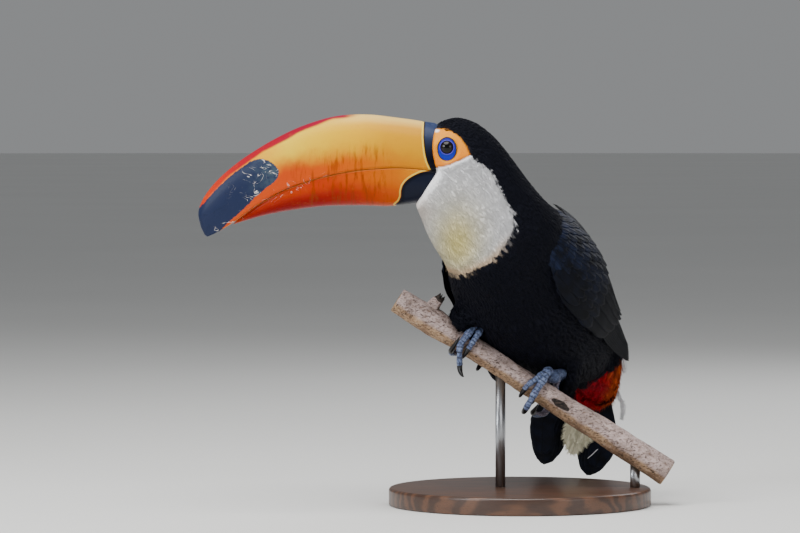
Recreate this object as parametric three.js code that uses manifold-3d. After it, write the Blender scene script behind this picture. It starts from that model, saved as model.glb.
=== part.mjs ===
// Toco toucan perched on a cut branch, life size, as a still display model on a plain stand.
// Units are millimetres and +Z is up. The bill points along -X, the head's plane of symmetry is
// parallel to XZ, and the centre of the stand's underside is the origin.
import * as THREE from "three";
import { mergeVertices } from "three/addons/utils/BufferGeometryUtils.js";
import Module from "manifold-3d";

const wasm = await Module();
wasm.setup();

const GAP = 0.3; // left between pieces that touch
const FULL_TURN = 2 * Math.PI;
const vec = (x, y, z) => new THREE.Vector3(x, y, z);
const rad = (degrees) => THREE.MathUtils.degToRad(degrees);
const mix = (a, b, share) => a + (b - a) * share;
const smooth = (value, low, high) => THREE.MathUtils.smoothstep(value, low, high);

// ---------------------------------------------------------------- driving sizes

const BODY = { centre: vec(14, 32, 166), yaw: rad(58), pitch: rad(33) };
const HEAD_Y = -42; // the head's plane of symmetry
const GAPE = vec(-67.2, HEAD_Y, 268); // where the mouth line meets the face

const PERCH = {
  start: vec(-98, 4, 164),
  end: vec(118, -6, 25.5),
  radii: [10.4, 11.6, 9.2, 9.0, 9.2, 9.6, 10.4, 11.0, 11.2],
};
const EYE = { x: -59.2, z: 286.6, radius: 7.6, sunk: 4.6, opening: 5.6 };
const STAND = { radius: 105, thick: 14, bevel: 2.5, rod: 4 };
const TAIL = {
  root: vec(66, 97, 113),
  way: vec(-0.205, 0.54, -0.82).normalize(),
  roll: rad(22),
  length: 114,
};

// ---------------------------------------------------------------- solids from geometry

// A three.js geometry as a manifold-3d solid with its faces turned outwards.
function solidOf(geometry) {
  const bare = geometry.clone();
  bare.deleteAttribute("normal");
  bare.deleteAttribute("uv");
  const merged = mergeVertices(bare, 1e-4);
  const build = (order) => {
    const triVerts = new Uint32Array(merged.index.array);
    if (order < 0) triVerts.reverse();
    const vertProperties = merged.attributes.position.array;
    return new wasm.Manifold(new wasm.Mesh({ numProp: 3, vertProperties, triVerts }));
  };
  const made = build(1);
  return made.volume() < 0 ? build(-1) : made;
}

function geometryOf(solid) {
  const { numProp, numVert, vertProperties, triVerts } = solid.getMesh();
  const positions = new Float32Array(numVert * 3);
  for (let i = 0; i < numVert; i++) {
    positions.set(vertProperties.subarray(i * numProp, i * numProp + 3), i * 3);
  }
  return new THREE.BufferGeometry()
    .setAttribute("position", new THREE.BufferAttribute(positions, 3))
    .setIndex(new THREE.BufferAttribute(triVerts, 1));
}

const fuse = (solids) => solids.reduce((whole, piece) => whole.add(piece));
const cutBy = (solid, ...cutters) => cutters.reduce((left, cutter) => left.subtract(cutter), solid);

// The largest closed surface of a solid: loose scraps and sealed hollows go.
function largest(solid) {
  return solid.decompose().reduce((best, next) => (next.volume() > best.volume() ? next : best));
}

function closedGeometry(points, faces) {
  const positions = new Float32Array(points.flatMap((p) => p.toArray()));
  return new THREE.BufferGeometry()
    .setAttribute("position", new THREE.BufferAttribute(positions, 3))
    .setIndex(faces.flat());
}

// A closed surface through rings of equally many points, with a fan over each end.
function loft(rings) {
  const sides = rings[0].length;
  const points = rings.flat();
  const faces = [];
  for (let r = 0; r + 1 < rings.length; r++) {
    for (let k = 0; k < sides; k++) {
      const next = (k + 1) % sides;
      const [a, b, c, d] = [r * sides + k, r * sides + next, (r + 1) * sides + next, (r + 1) * sides + k];
      faces.push([a, b, c], [a, c, d]);
    }
  }
  const middle = (ring) => ring.reduce((sum, p) => sum.add(p), vec(0, 0, 0)).divideScalar(sides);
  const [first, last] = [points.push(middle(rings[0])) - 1, points.push(middle(rings.at(-1))) - 1];
  const end = (rings.length - 1) * sides;
  for (let k = 0; k < sides; k++) {
    const next = (k + 1) % sides;
    faces.push([first, next, k], [last, end + k, end + next]);
  }
  return solidOf(closedGeometry(points, faces));
}

// A closed plate over a grid of spots { under, over }, with both faces split alike.
function plate(grid) {
  const [rows, columns] = [grid.length, grid[0].length];
  const points = [...grid.flat().map((s) => s.over), ...grid.flat().map((s) => s.under)];
  const at = (r, c, below) => r * columns + c + (below ? rows * columns : 0);
  const faces = [];
  for (let r = 0; r + 1 < rows; r++) {
    for (let c = 0; c + 1 < columns; c++) {
      const corners = [[r, c], [r, c + 1], [r + 1, c + 1], [r + 1, c]];
      const [a, b, d, e] = corners.map(([row, column]) => at(row, column, false));
      const [f, g, h, i] = corners.map(([row, column]) => at(row, column, true));
      faces.push([a, b, d], [a, d, e], [f, h, g], [f, i, h]);
    }
  }
  const rim = [];
  for (let c = 0; c + 1 < columns; c++) rim.push([0, c]);
  for (let r = 0; r + 1 < rows; r++) rim.push([r, columns - 1]);
  for (let c = columns - 1; c > 0; c--) rim.push([rows - 1, c]);
  for (let r = rows - 1; r > 0; r--) rim.push([r, 0]);
  rim.forEach(([r, c], i) => {
    const [nextRow, nextColumn] = rim[(i + 1) % rim.length];
    const [a, b] = [at(r, c, false), at(nextRow, nextColumn, false)];
    const [d, e] = [at(r, c, true), at(nextRow, nextColumn, true)];
    faces.push([a, d, e], [a, e, b]);
  });
  return solidOf(closedGeometry(points, faces));
}

// Numbers and vectors given at a row of keys and read smoothly at any place t between them.
class Keyed {
  constructor(keys) {
    this.keys = keys;
    this.last = keys.length - 1;
    this.curves = Object.keys(keys[0]).map((name) => {
      const plain = typeof keys[0][name] === "number";
      const points = keys.map((key) => (plain ? vec(key[name], 0, 0) : key[name]));
      return { name, plain, curve: new THREE.CatmullRomCurve3(points, false, "catmullrom", 0.5) };
    });
  }

  at(t) {
    const read = ({ name, plain, curve }) => {
      const value = curve.getPoint(t / this.last);
      return [name, plain ? value.x : value];
    };
    return Object.fromEntries(this.curves.map(read));
  }

  // The place t of a value of a field that falls from key to key.
  placeOf(field, value) {
    const found = this.keys.findIndex((key) => key[field] <= value);
    const i = found < 0 ? this.last : Math.max(found, 1);
    const [high, low] = [this.keys[i - 1][field], this.keys[i][field]];
    return THREE.MathUtils.clamp(i - 1 + (high - value) / (high - low), 0, this.last);
  }
}

// An oval ring between a top and a bottom point, widest at `middle` of the way up. A larger `square`
// gives fuller corners, and `under` is the same for the half below the widest line.
function ovalRing({ top, bottom, side, half, middle, square, under = square }, sides, grow = 0) {
  const centre = bottom.clone().lerp(top, middle);
  const lift = (point) => point.clone().sub(centre);
  const [up, down] = [lift(top), lift(bottom)].map((v) => v.setLength(v.length() + grow));
  const across = side.clone().setLength(half + grow);
  return Array.from({ length: sides }, (_, k) => {
    const angle = (FULL_TURN * (k + 0.5)) / sides;
    const power = 2 / (Math.sin(angle) > 0 ? square : under);
    const bend = (value) => Math.sign(value) * Math.abs(value) ** power;
    const rise = bend(Math.sin(angle));
    return centre
      .clone()
      .addScaledVector(across, bend(Math.cos(angle)))
      .addScaledVector(rise > 0 ? up : down, Math.abs(rise));
  });
}

// A round bar along a line of points. `reference` is a way that the line never runs in.
function bar(spine, reference, sides, radiusAt) {
  const rings = spine.map((point, i) => {
    const ahead = spine[Math.min(i + 1, spine.length - 1)];
    const behind = spine[Math.max(i - 1, 0)];
    const way = ahead.clone().sub(behind).normalize();
    const out = way.clone().cross(reference).normalize();
    const along = way.clone().cross(out);
    return Array.from({ length: sides }, (_, k) => {
      const angle = (FULL_TURN * k) / sides;
      const radius = radiusAt(i / (spine.length - 1), angle);
      return point
        .clone()
        .addScaledVector(out, radius * Math.cos(angle))
        .addScaledVector(along, radius * Math.sin(angle));
    });
  });
  return loft(rings);
}

// ---------------------------------------------------------------- frames of the body and the tail

const forward = vec(
  -Math.cos(BODY.pitch) * Math.cos(BODY.yaw),
  -Math.cos(BODY.pitch) * Math.sin(BODY.yaw),
  Math.sin(BODY.pitch),
);
const left = vec(Math.sin(BODY.yaw), -Math.cos(BODY.yaw), 0);
const dorsal = forward.clone().cross(left);

// A point in the body's own frame.
function inBody(along, across, up) {
  return BODY.centre
    .clone()
    .addScaledVector(forward, along)
    .addScaledVector(left, across)
    .addScaledVector(dorsal, up);
}

const tailWay = TAIL.way;
const tailLeft = left
  .clone()
  .addScaledVector(tailWay, -left.dot(tailWay))
  .normalize()
  .applyAxisAngle(tailWay, -TAIL.roll);
const tailUp = tailLeft.clone().cross(tailWay);

function inTail(along, across, up) {
  return TAIL.root
    .clone()
    .addScaledVector(tailWay, along)
    .addScaledVector(tailLeft, across)
    .addScaledVector(tailUp, up);
}

// ---------------------------------------------------------------- head, neck and torso

const headSide = vec(0, -1, 0);
const inHead = (x, z, back = 0) => vec(x, HEAD_Y + back, z);
const turned = (share) => headSide.clone().lerp(left, share).normalize();

// From the face to the vent: the crown, nape and back are the tops, the chin, throat and belly the bottoms.
const torsoKey = (along, half, up, down, aside = 0) => ({
  top: inBody(along, aside, up),
  bottom: inBody(along, aside, -down),
  side: left,
  half,
  middle: down / (up + down),
  square: 2.15,
});
const key = (top, bottom, side, half) => ({ top, bottom, side, half, middle: 0.52, square: 2.2 });
const flesh = new Keyed([
  key(inHead(-74, 303), inHead(-86, 244), headSide, 22),
  key(inHead(-54.4, 310.4), inHead(-80.5, 232), headSide, 26.5),
  key(inHead(-38.4, 307.6), inHead(-76, 220), headSide, 28.5),
  key(inHead(-23.2, 297), inHead(-70, 208), headSide, 30),
  key(inHead(-9.5, 281, 4), inHead(-64, 199, -4), turned(0.15), 32),
  key(inHead(3, 261, 16), inHead(-56, 188, -6), turned(0.4), 37),
  key(inHead(11, 244, 34), inHead(-42, 172, -2), turned(0.75), 45),
  torsoKey(44, 53, 59.5, 55),
  torsoKey(14, 54.5, 57, 60),
  torsoKey(-16, 53, 53, 62),
  torsoKey(-46, 47.5, 42, 56),
  torsoKey(-72, 38, 30, 43, 2),
  torsoKey(-95, 22, 15, 24, 6),
]);
const HEAD_END = 3;
const NECK_END = 5.6;

// The flesh from one key place to another. The first ring is set back by `clear` from the piece ahead.
function fleshPiece(from, to, steps, sides, clear = 0, grow = 0) {
  const rings = Array.from({ length: steps + 1 }, (_, i) => {
    return ovalRing(flesh.at(mix(from, to, i / steps)), sides, grow);
  });
  if (clear) {
    const shift = ringNormal(rings[0]).multiplyScalar(clear);
    const onward = rings[1][0].clone().sub(rings[0][0]).dot(shift) > 0 ? 1 : -1;
    rings[0].forEach((p) => p.addScaledVector(shift, onward));
  }
  return loft(rings);
}

function ringNormal(ring) {
  const third = Math.floor(ring.length / 3);
  const [a, b, c] = [ring[0], ring[third], ring[2 * third]];
  return b.clone().sub(a).cross(c.clone().sub(a)).normalize();
}

// ---------------------------------------------------------------- bill

const inBill = (ahead, up) => vec(GAPE.x - ahead, HEAD_Y, GAPE.z + up);
const BILL_ROUND = { square: 2.35, under: 6.5 }; // rounded culmen over a flat cutting edge
const KEEL_ROUND = { square: 6.5, under: 2.35 };
const billKey = (top, bottom, half, middle, roundness) => ({
  top: inBill(...top),
  bottom: inBill(...bottom),
  side: headSide,
  half,
  middle,
  ...roundness,
});
// Culmen above, cutting edge below.
const upperBill = new Keyed([
  billKey([1.6, 37.6], [0, 0], 21.5, 0.2, BILL_ROUND),
  billKey([30, 41.8], [26, 2.4], 21.3, 0.2, BILL_ROUND),
  billKey([56, 44.4], [50, 1.6], 20.3, 0.2, BILL_ROUND),
  billKey([82, 42.5], [73, -1.3], 18.8, 0.2, BILL_ROUND),
  billKey([110, 33.6], [97, -7], 16.8, 0.22, BILL_ROUND),
  billKey([138, 19.2], [121, -15.5], 14.4, 0.25, BILL_ROUND),
  billKey([163, 1.6], [142, -27.6], 11.8, 0.28, BILL_ROUND),
  billKey([180, -15.6], [159, -40], 9.4, 0.32, BILL_ROUND),
  billKey([187.8, -31], [171, -47.5], 6.6, 0.36, BILL_ROUND),
  billKey([186.5, -43], [178, -51], 4, 0.42, BILL_ROUND),
  billKey([183.5, -50.2], [181, -52.2], 1.6, 0.5, BILL_ROUND),
]);
// Cutting edge above, keel below.
const lowerBill = new Keyed([
  billKey([0, 0], [17.5, -25.5], 21, 0.78, KEEL_ROUND),
  billKey([26, 2.4], [38, -28], 20.6, 0.78, KEEL_ROUND),
  billKey([50, 1.6], [63, -27.4], 19.4, 0.78, KEEL_ROUND),
  billKey([73, -1.3], [88, -28], 17.6, 0.78, KEEL_ROUND),
  billKey([97, -7], [110, -30.5], 15.2, 0.76, KEEL_ROUND),
  billKey([121, -15.5], [131, -34.2], 12, 0.74, KEEL_ROUND),
  billKey([142, -27.6], [148, -38.6], 8.2, 0.7, KEEL_ROUND),
  billKey([157, -38.4], [160.5, -42.4], 3.2, 0.6, KEEL_ROUND),
]);

// Half a bill: its rings are flattened at the cutting edge, and stop half a gap short of it.
function mandible(keyed, steps, sides, keepTop) {
  const rings = Array.from({ length: steps + 1 }, (_, i) => {
    const station = keyed.at((keyed.last * i) / steps);
    const edge = keepTop ? "bottom" : "top";
    const inward = station.top.clone().sub(station.bottom).setLength(keepTop ? GAP / 2 : -GAP / 2);
    station[edge].add(inward);
    return ovalRing({ ...station }, sides);
  });
  return loft(rings);
}

// The two nostrils, pits where the culmen meets the forehead.
const nostrils = () => [-1, 1].map((side) => {
  const pit = inBill(3.4, 36.4);
  const ball = new THREE.SphereGeometry(1.9, 8, 6).scale(1.7, 1, 1).rotateY(rad(8));
  return solidOf(ball.translate(pit.x, pit.y + 8.5 * side, pit.z));
});

// The wedge in front of the face that the bill fills, cut clear by the gap.
function faceNotch() {
  const upright = inBill(1.6, 37.6).sub(inBill(0, 0)).normalize();
  const slanting = inBill(17.5, -25.5).sub(inBill(0, 0)).normalize();
  const gape = inBill(-GAP * 1.1, 0);
  const above = gape.clone().addScaledVector(upright, 70);
  const below = gape.clone().addScaledVector(slanting, 60);
  const outline = new THREE.Shape([
    new THREE.Vector2(gape.x, gape.z),
    new THREE.Vector2(above.x, above.z),
    new THREE.Vector2(above.x - 60, above.z),
    new THREE.Vector2(above.x - 60, below.z),
    new THREE.Vector2(below.x, below.z),
  ]);
  const width = 120;
  return solidOf(
    new THREE.ExtrudeGeometry(outline, { depth: width, bevelEnabled: false })
      .rotateX(Math.PI / 2)
      .translate(0, HEAD_Y + width / 2, 0),
  );
}

// ---------------------------------------------------------------- eyes

// The eye's centre, on the left for side 1 and on the right for side -1.
function eyeCentre(side) {
  const skin = 25; // half the head's width at the eyes
  return vec(EYE.x, HEAD_Y - side * (skin - EYE.sunk), EYE.z);
}

const eyeball = (side, grow = 0) => {
  const centre = eyeCentre(side);
  return solidOf(new THREE.SphereGeometry(EYE.radius + grow, 16, 9).translate(centre.x, centre.y, centre.z));
};

// The bare ring round the eye: a low oval cushion, taller than wide, with the lids' rim on it.
function orbitalRing(side) {
  const centre = eyeCentre(side);
  const profile = [
    [0, -8],
    [9.2, -8],
    [9.2, 4],
    [8, 5.4],
    [6.9, 5.9],
    [5.7, 5.2],
    [0, 5.2],
  ].map(([radius, height]) => new THREE.Vector2(radius, height));
  const ring = new THREE.LatheGeometry(profile, 18)
    .scale(0.84, 1, 1.06)
    .rotateX(side > 0 ? Math.PI : 0)
    .translate(centre.x, centre.y, centre.z - 1.2);
  return solidOf(ring);
}

// ---------------------------------------------------------------- wings

// The shell that the folded wing lies on, by its distance along the body.
const wingShell = new Keyed([
  { along: 90, half: 39, up: 38, down: 38 },
  { along: 66, half: 50, up: 52.5, down: 50 },
  { along: 42, half: 54.5, up: 60, down: 57 },
  { along: 14, half: 57, up: 60, down: 62 },
  { along: -16, half: 55.5, up: 56, down: 61 },
  { along: -46, half: 50, up: 46, down: 55 },
  { along: -76, half: 45.5, up: 37, down: 45 },
  { along: -112, half: 40, up: 30, down: 34 },
]);

// A spot on the wing's shell: `turn` runs from the back, 0, to the flank, 90 degrees.
function wingSpot(side, along, turn, lift) {
  const { half, up, down } = wingShell.at(wingShell.placeOf("along", along));
  const [across, rise] = [Math.sin(turn), Math.cos(turn)];
  const height = rise > 0 ? up : down;
  const out = left
    .clone()
    .multiplyScalar((side * across) / half)
    .addScaledVector(dorsal, rise / height)
    .normalize();
  const point = inBody(along, side * half * across, height * rise).addScaledVector(out, lift);
  return { point, out, radius: mix(height, half, Math.abs(across)) };
}

const BLADE_THICK = 0.8;

// A feather's outline: half its width at a share of its length, with a narrow root and a rounded tip.
function bladeOutline(share, half, point) {
  const opening = mix(0.45, 1, smooth(share, 0, 0.35));
  const closing = Math.sqrt(Math.max(0, 1 - ((share - point) / (1 - point)) ** 2));
  return half * opening * (share < point ? 1 : Math.max(closing, 0.35));
}

// A blade over a surface. place(share, across, edge) gives the spot { point, out } of its mid-plane.
// A flat blade needs only its two edges, a curved one a middle line too.
function blade(place, half, { rows, point = 0.62, edges = [-1, 0, 1] }) {
  return plate(
    rows.map((share) => {
      const width = bladeOutline(share, half, point);
      return edges.map((edge) => {
        const spot = place(share, edge * width, edge);
        const thick = BLADE_THICK * (1 - 0.3 * share) * (edge ? 0.85 : 1);
        return {
          over: spot.point.clone().addScaledVector(spot.out, thick / 2),
          under: spot.point.clone().addScaledVector(spot.out, -thick / 2),
        };
      });
    }),
  );
}

// A row of wing feathers from the back to the flank, each lying over the one below it.
const WING_ROWS = [
  { // primaries
    count: 6, half: 7.5, tilt: 1.1, lift: [-1.2, 0.6], rows: [0, 0.45, 0.84, 1],
    root: (s) => [mix(16, 34, s), mix(70, 104, s)],
    tip: (s) => [mix(-82, -93, s), mix(83, 96, s)],
  },
  { // secondaries and tertials
    count: 6, half: 13, tilt: 1.1, lift: [0.2, 1.6], rows: [0, 0.45, 0.82, 1],
    root: (s) => [mix(12, 40, s), mix(24, 107, s)],
    tip: (s) => [mix(-62, -38, s) - 10 * Math.sin(Math.PI * s), mix(20, 100, s)],
  },
  { // greater coverts
    count: 6, half: 12.5, tilt: 1, lift: [2, 4.2], rows: [0, 0.7, 1],
    root: (s) => [mix(36, 54, s), mix(24, 108, s)],
    tip: (s) => [mix(-12, 4, s), mix(22, 108, s)],
  },
  { // median coverts
    count: 6, half: 11.2, tilt: 0.9, lift: [3.2, 5.2], rows: [0, 0.6, 1],
    root: (s) => [mix(52, 66, s), mix(30, 105, s)],
    tip: (s) => [mix(16, 28, s), mix(28, 108, s)],
  },
];

function wingFeathers(side) {
  return WING_ROWS.flatMap(({ count, half, tilt, lift, rows, root, tip }) => {
    return Array.from({ length: count }, (_, j) => {
      const share = j / (count - 1);
      const [startAlong, startTurn] = root(share);
      const [endAlong, endTurn] = tip(share);
      const width = half * (1 + 0.06 * Math.sin(5 * j));
      return blade((s, across, edge) => {
        const along = mix(startAlong, endAlong, s);
        const { radius } = wingSpot(side, along, rad(90), 0);
        const turn = rad(mix(startTurn, endTurn, s)) + across / radius;
        const rise = mix(lift[0], lift[1], smooth(s, 0, 0.5)) + tilt * edge * smooth(s, 0, 0.3);
        return wingSpot(side, along, turn, rise);
      }, width, { rows });
    });
  });
}

// The arm inside its small feathers: a cushion from the shoulder back to the roots of the flight feathers.
function wingArm(side) {
  const rows = 6;
  const columns = 6;
  const grid = Array.from({ length: rows + 1 }, (_, r) => {
    const back = r / rows;
    return Array.from({ length: columns + 1 }, (_, c) => {
      const round = c / columns;
      const crown = Math.sin(Math.PI * (0.06 + 0.62 * back));
      const bulge = Math.sin(Math.PI * (0.1 + 0.8 * round)) * Math.sqrt(crown);
      const nose = 11 * (2 * round - 1.2) ** 2 * (1 - back);
      const along = mix(82 - nose, 8, back);
      const turn = rad(mix(mix(40, 20, back), mix(102, 114, smooth(back, 0, 0.5)), round));
      return {
        over: wingSpot(side, along, turn, 4.8 * bulge).point,
        under: wingSpot(side, along, turn, -8).point,
      };
    });
  });
  return plate(grid);
}

// ---------------------------------------------------------------- tail and its coverts

// The two halves of the tail, five feathers each, part in the middle.
function tailFeathers() {
  const pairs = 5;
  return [-1, 1].flatMap((side) => {
    return Array.from({ length: pairs }, (_, j) => {
      const outward = j / (pairs - 1);
      const length = TAIL.length * (1 - 0.07 * (2 * outward - 0.8) ** 2);
      const [root, spread, tip] = [mix(2.5, 9, outward), mix(15.5, 27, outward), mix(16, 23.5, outward)];
      return blade((s, across, edge) => {
        const up = -1.35 * j * smooth(s, 0, 0.3) - 5 * s * s + 0.5 * side * edge * smooth(s, 0.1, 0.4);
        const aside = mix(root, spread, smooth(s, 0.08, 0.72)) + (tip - spread) * smooth(s, 0.65, 1);
        const bend = mix(-3, 0.5, smooth(s, 0.5, 1));
        return { point: inTail(8 + (length - 8) * s, side * aside + bend + across, up), out: tailUp };
      }, 10.5, { rows: [0, 0.3, 0.6, 0.8, 0.93, 1], point: 0.8, edges: [-1, 1] });
    });
  });
}

const tailKey = (along, half, up, down, aside = 0) => ({
  top: inTail(along, aside, up),
  bottom: inTail(along, aside, -down),
  side: tailLeft,
  half,
  middle: 0.5,
  square: 2.1,
});

function keyedLoft(keys, steps, sides) {
  const keyed = new Keyed(keys);
  const rings = Array.from({ length: steps + 1 }, (_, i) => {
    return ovalRing(keyed.at((keyed.last * i) / steps), sides);
  });
  return loft(rings);
}

const tailRoot = () => keyedLoft([
  tailKey(-16, 12, 3, 3),
  tailKey(0, 16, 3, 4),
  tailKey(18, 15, 2.5, 6.5),
  tailKey(34, 12, 1, 5.5),
], 6, 10);

// A tier of covert blades over the tail's upper or under side.
function covertTier({ count, along, length, half, spread, lift, way }) {
  return Array.from({ length: count }, (_, j) => {
    const side = count > 1 ? (2 * j) / (count - 1) - 1 : 0;
    return blade((s, across, edge) => {
      const aside = side * spread * mix(0.75, 1, s) + across;
      const reach = along + length * (1 - 0.12 * side * side) * s;
      const shingle = 0.7 * edge * (side < 0 ? 1 : -1);
      const rise = mix(lift[0], lift[1], s) - 2.2 * side * side + shingle;
      return { point: inTail(reach, aside, way * rise), out: tailUp };
    }, half, { rows: [0, 0.4, 0.75, 1], point: 0.5, edges: [-1, 1] });
  });
}

const underCoverts = () => [
  keyedLoft([
    tailKey(-34, 17, -6, 20, -5),
    tailKey(-14, 22, -6, 25, -1),
    tailKey(8, 21, -8.5, 23.5, 3),
    tailKey(28, 18, -9.5, 17, 6),
    tailKey(40, 10, -10, 13, 5),
  ], 7, 12),
  ...covertTier({ count: 3, along: 16, length: 36, half: 8.5, spread: 9, lift: [12.5, 11.5], way: -1 }),
  ...covertTier({ count: 4, along: 4, length: 34, half: 9, spread: 14, lift: [18, 16], way: -1 }),
  ...covertTier({ count: 4, along: -10, length: 32, half: 9, spread: 15.5, lift: [23, 23], way: -1 }),
];

const upperCoverts = () => [
  keyedLoft([
    tailKey(-30, 14, 4, 2, -6),
    tailKey(-16, 21, 10, -4, -5),
    tailKey(8, 20, 9.5, -4, -1),
    tailKey(30, 12, 6, -3.5),
  ], 7, 12),
  ...covertTier({ count: 4, along: 4, length: 72, half: 8.5, spread: 12, lift: [6.5, 4], way: 1 }),
  ...covertTier({ count: 4, along: -10, length: 56, half: 9, spread: 12.5, lift: [9.5, 7], way: 1 }),
];

// ---------------------------------------------------------------- perch

const perchWay = PERCH.end.clone().sub(PERCH.start).normalize();
const perchLength = PERCH.end.distanceTo(PERCH.start);
const perchFront = perchWay.clone().cross(vec(0, 0, 1)).normalize(); // the side that the bird faces
const perchUp = perchFront.clone().cross(perchWay).normalize();

function perchRadius(share) {
  const place = share * (PERCH.radii.length - 1);
  const i = Math.min(Math.floor(place), PERCH.radii.length - 2);
  return mix(PERCH.radii[i], PERCH.radii[i + 1], smooth(place - i, 0, 1));
}

// A point beside the perch's axis: `turn` runs from its upper side, 0, over the front, 90 degrees.
function besidePerch(along, turn, radius) {
  return PERCH.start
    .clone()
    .addScaledVector(perchWay, along)
    .addScaledVector(perchUp, radius * Math.cos(turn))
    .addScaledVector(perchFront, radius * Math.sin(turn));
}

function perchBar(steps, sides, grow) {
  const spine = Array.from({ length: steps + 1 }, (_, i) => {
    return besidePerch((perchLength * i) / steps, 0, 0);
  });
  return bar(spine, vec(0, 1, 0), sides, (share, angle) => {
    const bark = 0.35 * Math.sin(3 * angle + 9 * share) + 0.25 * Math.sin(5 * angle - 31 * share);
    return perchRadius(share) + bark + grow;
  });
}

// The broken twig near the perch's upper end.
function perchTwig() {
  const spine = [0, 1, 2, 3].map((i) => besidePerch(26 + 0.8 * i, 0, 3 + 6.4 * i));
  return bar(spine, perchWay, 8, (share) => 7.6 - 4.8 * share);
}

// ---------------------------------------------------------------- legs, feet and claws

// Each toe leaves the pad beside the station, by `from`, and ends `to` beside it, `length` degrees round
// the perch. Way 1 runs over the front and way -1 over the back. Its end may hang `drop` clear of the
// perch and bend `sway` along it. The claw runs on for `claw` degrees, or hangs down.
const LEGS = {
  left: {
    station: 138, ankle: vec(36, 20, 98), hip: vec(34, 30, 140),
    tufts: [{ at: vec(36, 20, 97), from: 24, to: 15 }],
    toes: [
      { name: "inner", way: 1, from: -7, to: -14, length: 114, radius: 2.5, scutes: 4 },
      { name: "middle", way: 1, from: -5.5, to: -5.5, length: 150, radius: 3.1, drop: 7, sway: 1, scutes: 6 },
      { name: "outer", way: -1, from: 3.5, to: 10.5, length: 192, radius: 2.8, drop: 5, sway: -9, scutes: 5 },
      { name: "hind", way: -1, from: -1, to: -2.5, length: 112, radius: 2.7, scutes: 4 },
    ],
  },
  right: {
    station: 63, ankle: vec(-14, 23, 109), hip: vec(-18, 28, 150),
    tufts: [{ at: vec(-14, 23, 106), from: 24, to: 13 }, { at: vec(-44, -2, 149), from: 22, to: 15.5 }],
    toes: [
      {
        name: "middle", way: 1, from: 0, to: -1.5, length: 152, radius: 2.9, drop: 6.5, sway: 10, scutes: 6,
        hangs: true,
      },
      { name: "inner", way: 1, from: 6, to: 6, length: 100, radius: 2.6, scutes: 4 },
      { name: "outer", way: -1, from: -3, to: -1, length: 208, radius: 2.8, sway: -4, claw: 72, scutes: 5 },
      { name: "hind", way: -1, from: 5, to: 21, length: 128, radius: 2.6, scutes: 4 },
    ],
  },
};
const PAD = 6.6; // height of the pad's middle over the bark
const TOE_START = 6;
const CLAW_ARC = 9.5; // radius of a hanging claw's arc
const CLAW_SHARES = [0, 0.2, 0.4, 0.6, 0.8, 1];

const toeRadius = (toe, share) => toe.radius * mix(1.1, 0.82, share);

function toeCentre(station, toe, turn, radius) {
  const { from, to, drop = 0, sway = 0 } = toe;
  const bend = sway * smooth(turn, toe.length - 60, toe.length + 15);
  const slide = station + mix(from, to, smooth(turn, 0, 110)) + bend;
  const lift = 4.5 * (1 - smooth(turn, 10, 70)) + drop * smooth(turn, 90, 150);
  return besidePerch(slide, toe.way * rad(turn), perchRadius(slide / perchLength) + 0.9 + radius + lift);
}

// A toe wraps round the perch. Its scutes are steps on the outer face.
function toeBar(station, toe, grow = 0) {
  const rows = toe.scutes * 2 + 1;
  const shares = Array.from({ length: rows }, (_, i) => {
    return (Math.floor(i / 2) + (i % 2 ? 0.86 : 0)) / toe.scutes;
  });
  const spine = shares.map((share) => {
    return toeCentre(station, toe, mix(TOE_START, toe.length + grow * 4.5, share), toeRadius(toe, share));
  });
  return bar(spine, perchWay, 7, (place, angle) => {
    const row = Math.round(place * (rows - 1));
    const step = row % 2 ? 0.34 : -0.12;
    const outer = 0.5 - 0.5 * Math.cos(angle) * toe.way;
    return toeRadius(toe, shares[row]) + step * outer + grow;
  });
}

const clawRadius = (toe, share) => mix(0.85 * toe.radius, 0.45, share ** 2);

// A claw runs on from the toe's end and hooks round the perch.
function clawBar(station, toe) {
  const spine = CLAW_SHARES.map((share) => {
    const out = toeRadius(toe, 1) + 1.4 * Math.sin(Math.PI * share * 0.8);
    return toeCentre(station, toe, toe.length + mix(-3, toe.claw ?? 50, share), out);
  });
  return bar(spine, perchWay, 6, (share) => clawRadius(toe, share));
}

// The claw of a toe that hangs clear of the perch: an arc that falls, then hooks along the perch.
function hangingClaw(station, toe) {
  const fall = perchUp.clone().multiplyScalar(-0.85).addScaledVector(perchWay, 0.45).normalize();
  const pivot = fall.clone().cross(perchFront).addScaledVector(perchFront, 0.6).normalize();
  const hook = pivot.clone().cross(fall).normalize();
  const root = toeCentre(station, toe, toe.length - 5, toeRadius(toe, 1));
  const spine = CLAW_SHARES.map((share) => {
    const swing = rad(80 * share);
    return root
      .clone()
      .addScaledVector(fall, CLAW_ARC * Math.sin(swing))
      .addScaledVector(hook, CLAW_ARC * (1 - Math.cos(swing)));
  });
  return bar(spine, pivot, 6, (share) => clawRadius(toe, share));
}

const padCentre = ({ station }, aside = 0) => {
  return besidePerch(station + aside, 0, perchRadius(station / perchLength) + PAD);
};

// The pad on top of the perch that the toes and the shank join.
function footPad(leg, grow = 0) {
  const spine = [-1, -0.5, 0.5, 1].map((s) => padCentre(leg, 5.6 * s));
  return bar(spine, vec(0, 1, 0), 10, (share) => 3.4 + 2.4 * Math.sin(Math.PI * share) + grow);
}

function shankBar(leg, grow = 0) {
  const foot = padCentre(leg);
  const spine = [0, 0.33, 0.67, 1].map((s) => {
    return foot.clone().lerp(leg.ankle, s).addScaledVector(perchUp, 5 * Math.sin(Math.PI * s));
  });
  return bar(spine, perchWay, 8, (share) => 3.9 + 0.9 * Math.abs(share - 0.4) + grow);
}

function footShape(leg) {
  const toes = leg.toes.map((toe) => toeBar(leg.station, toe));
  return fuse([footPad(leg), shankBar(leg), ...toes]);
}

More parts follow.
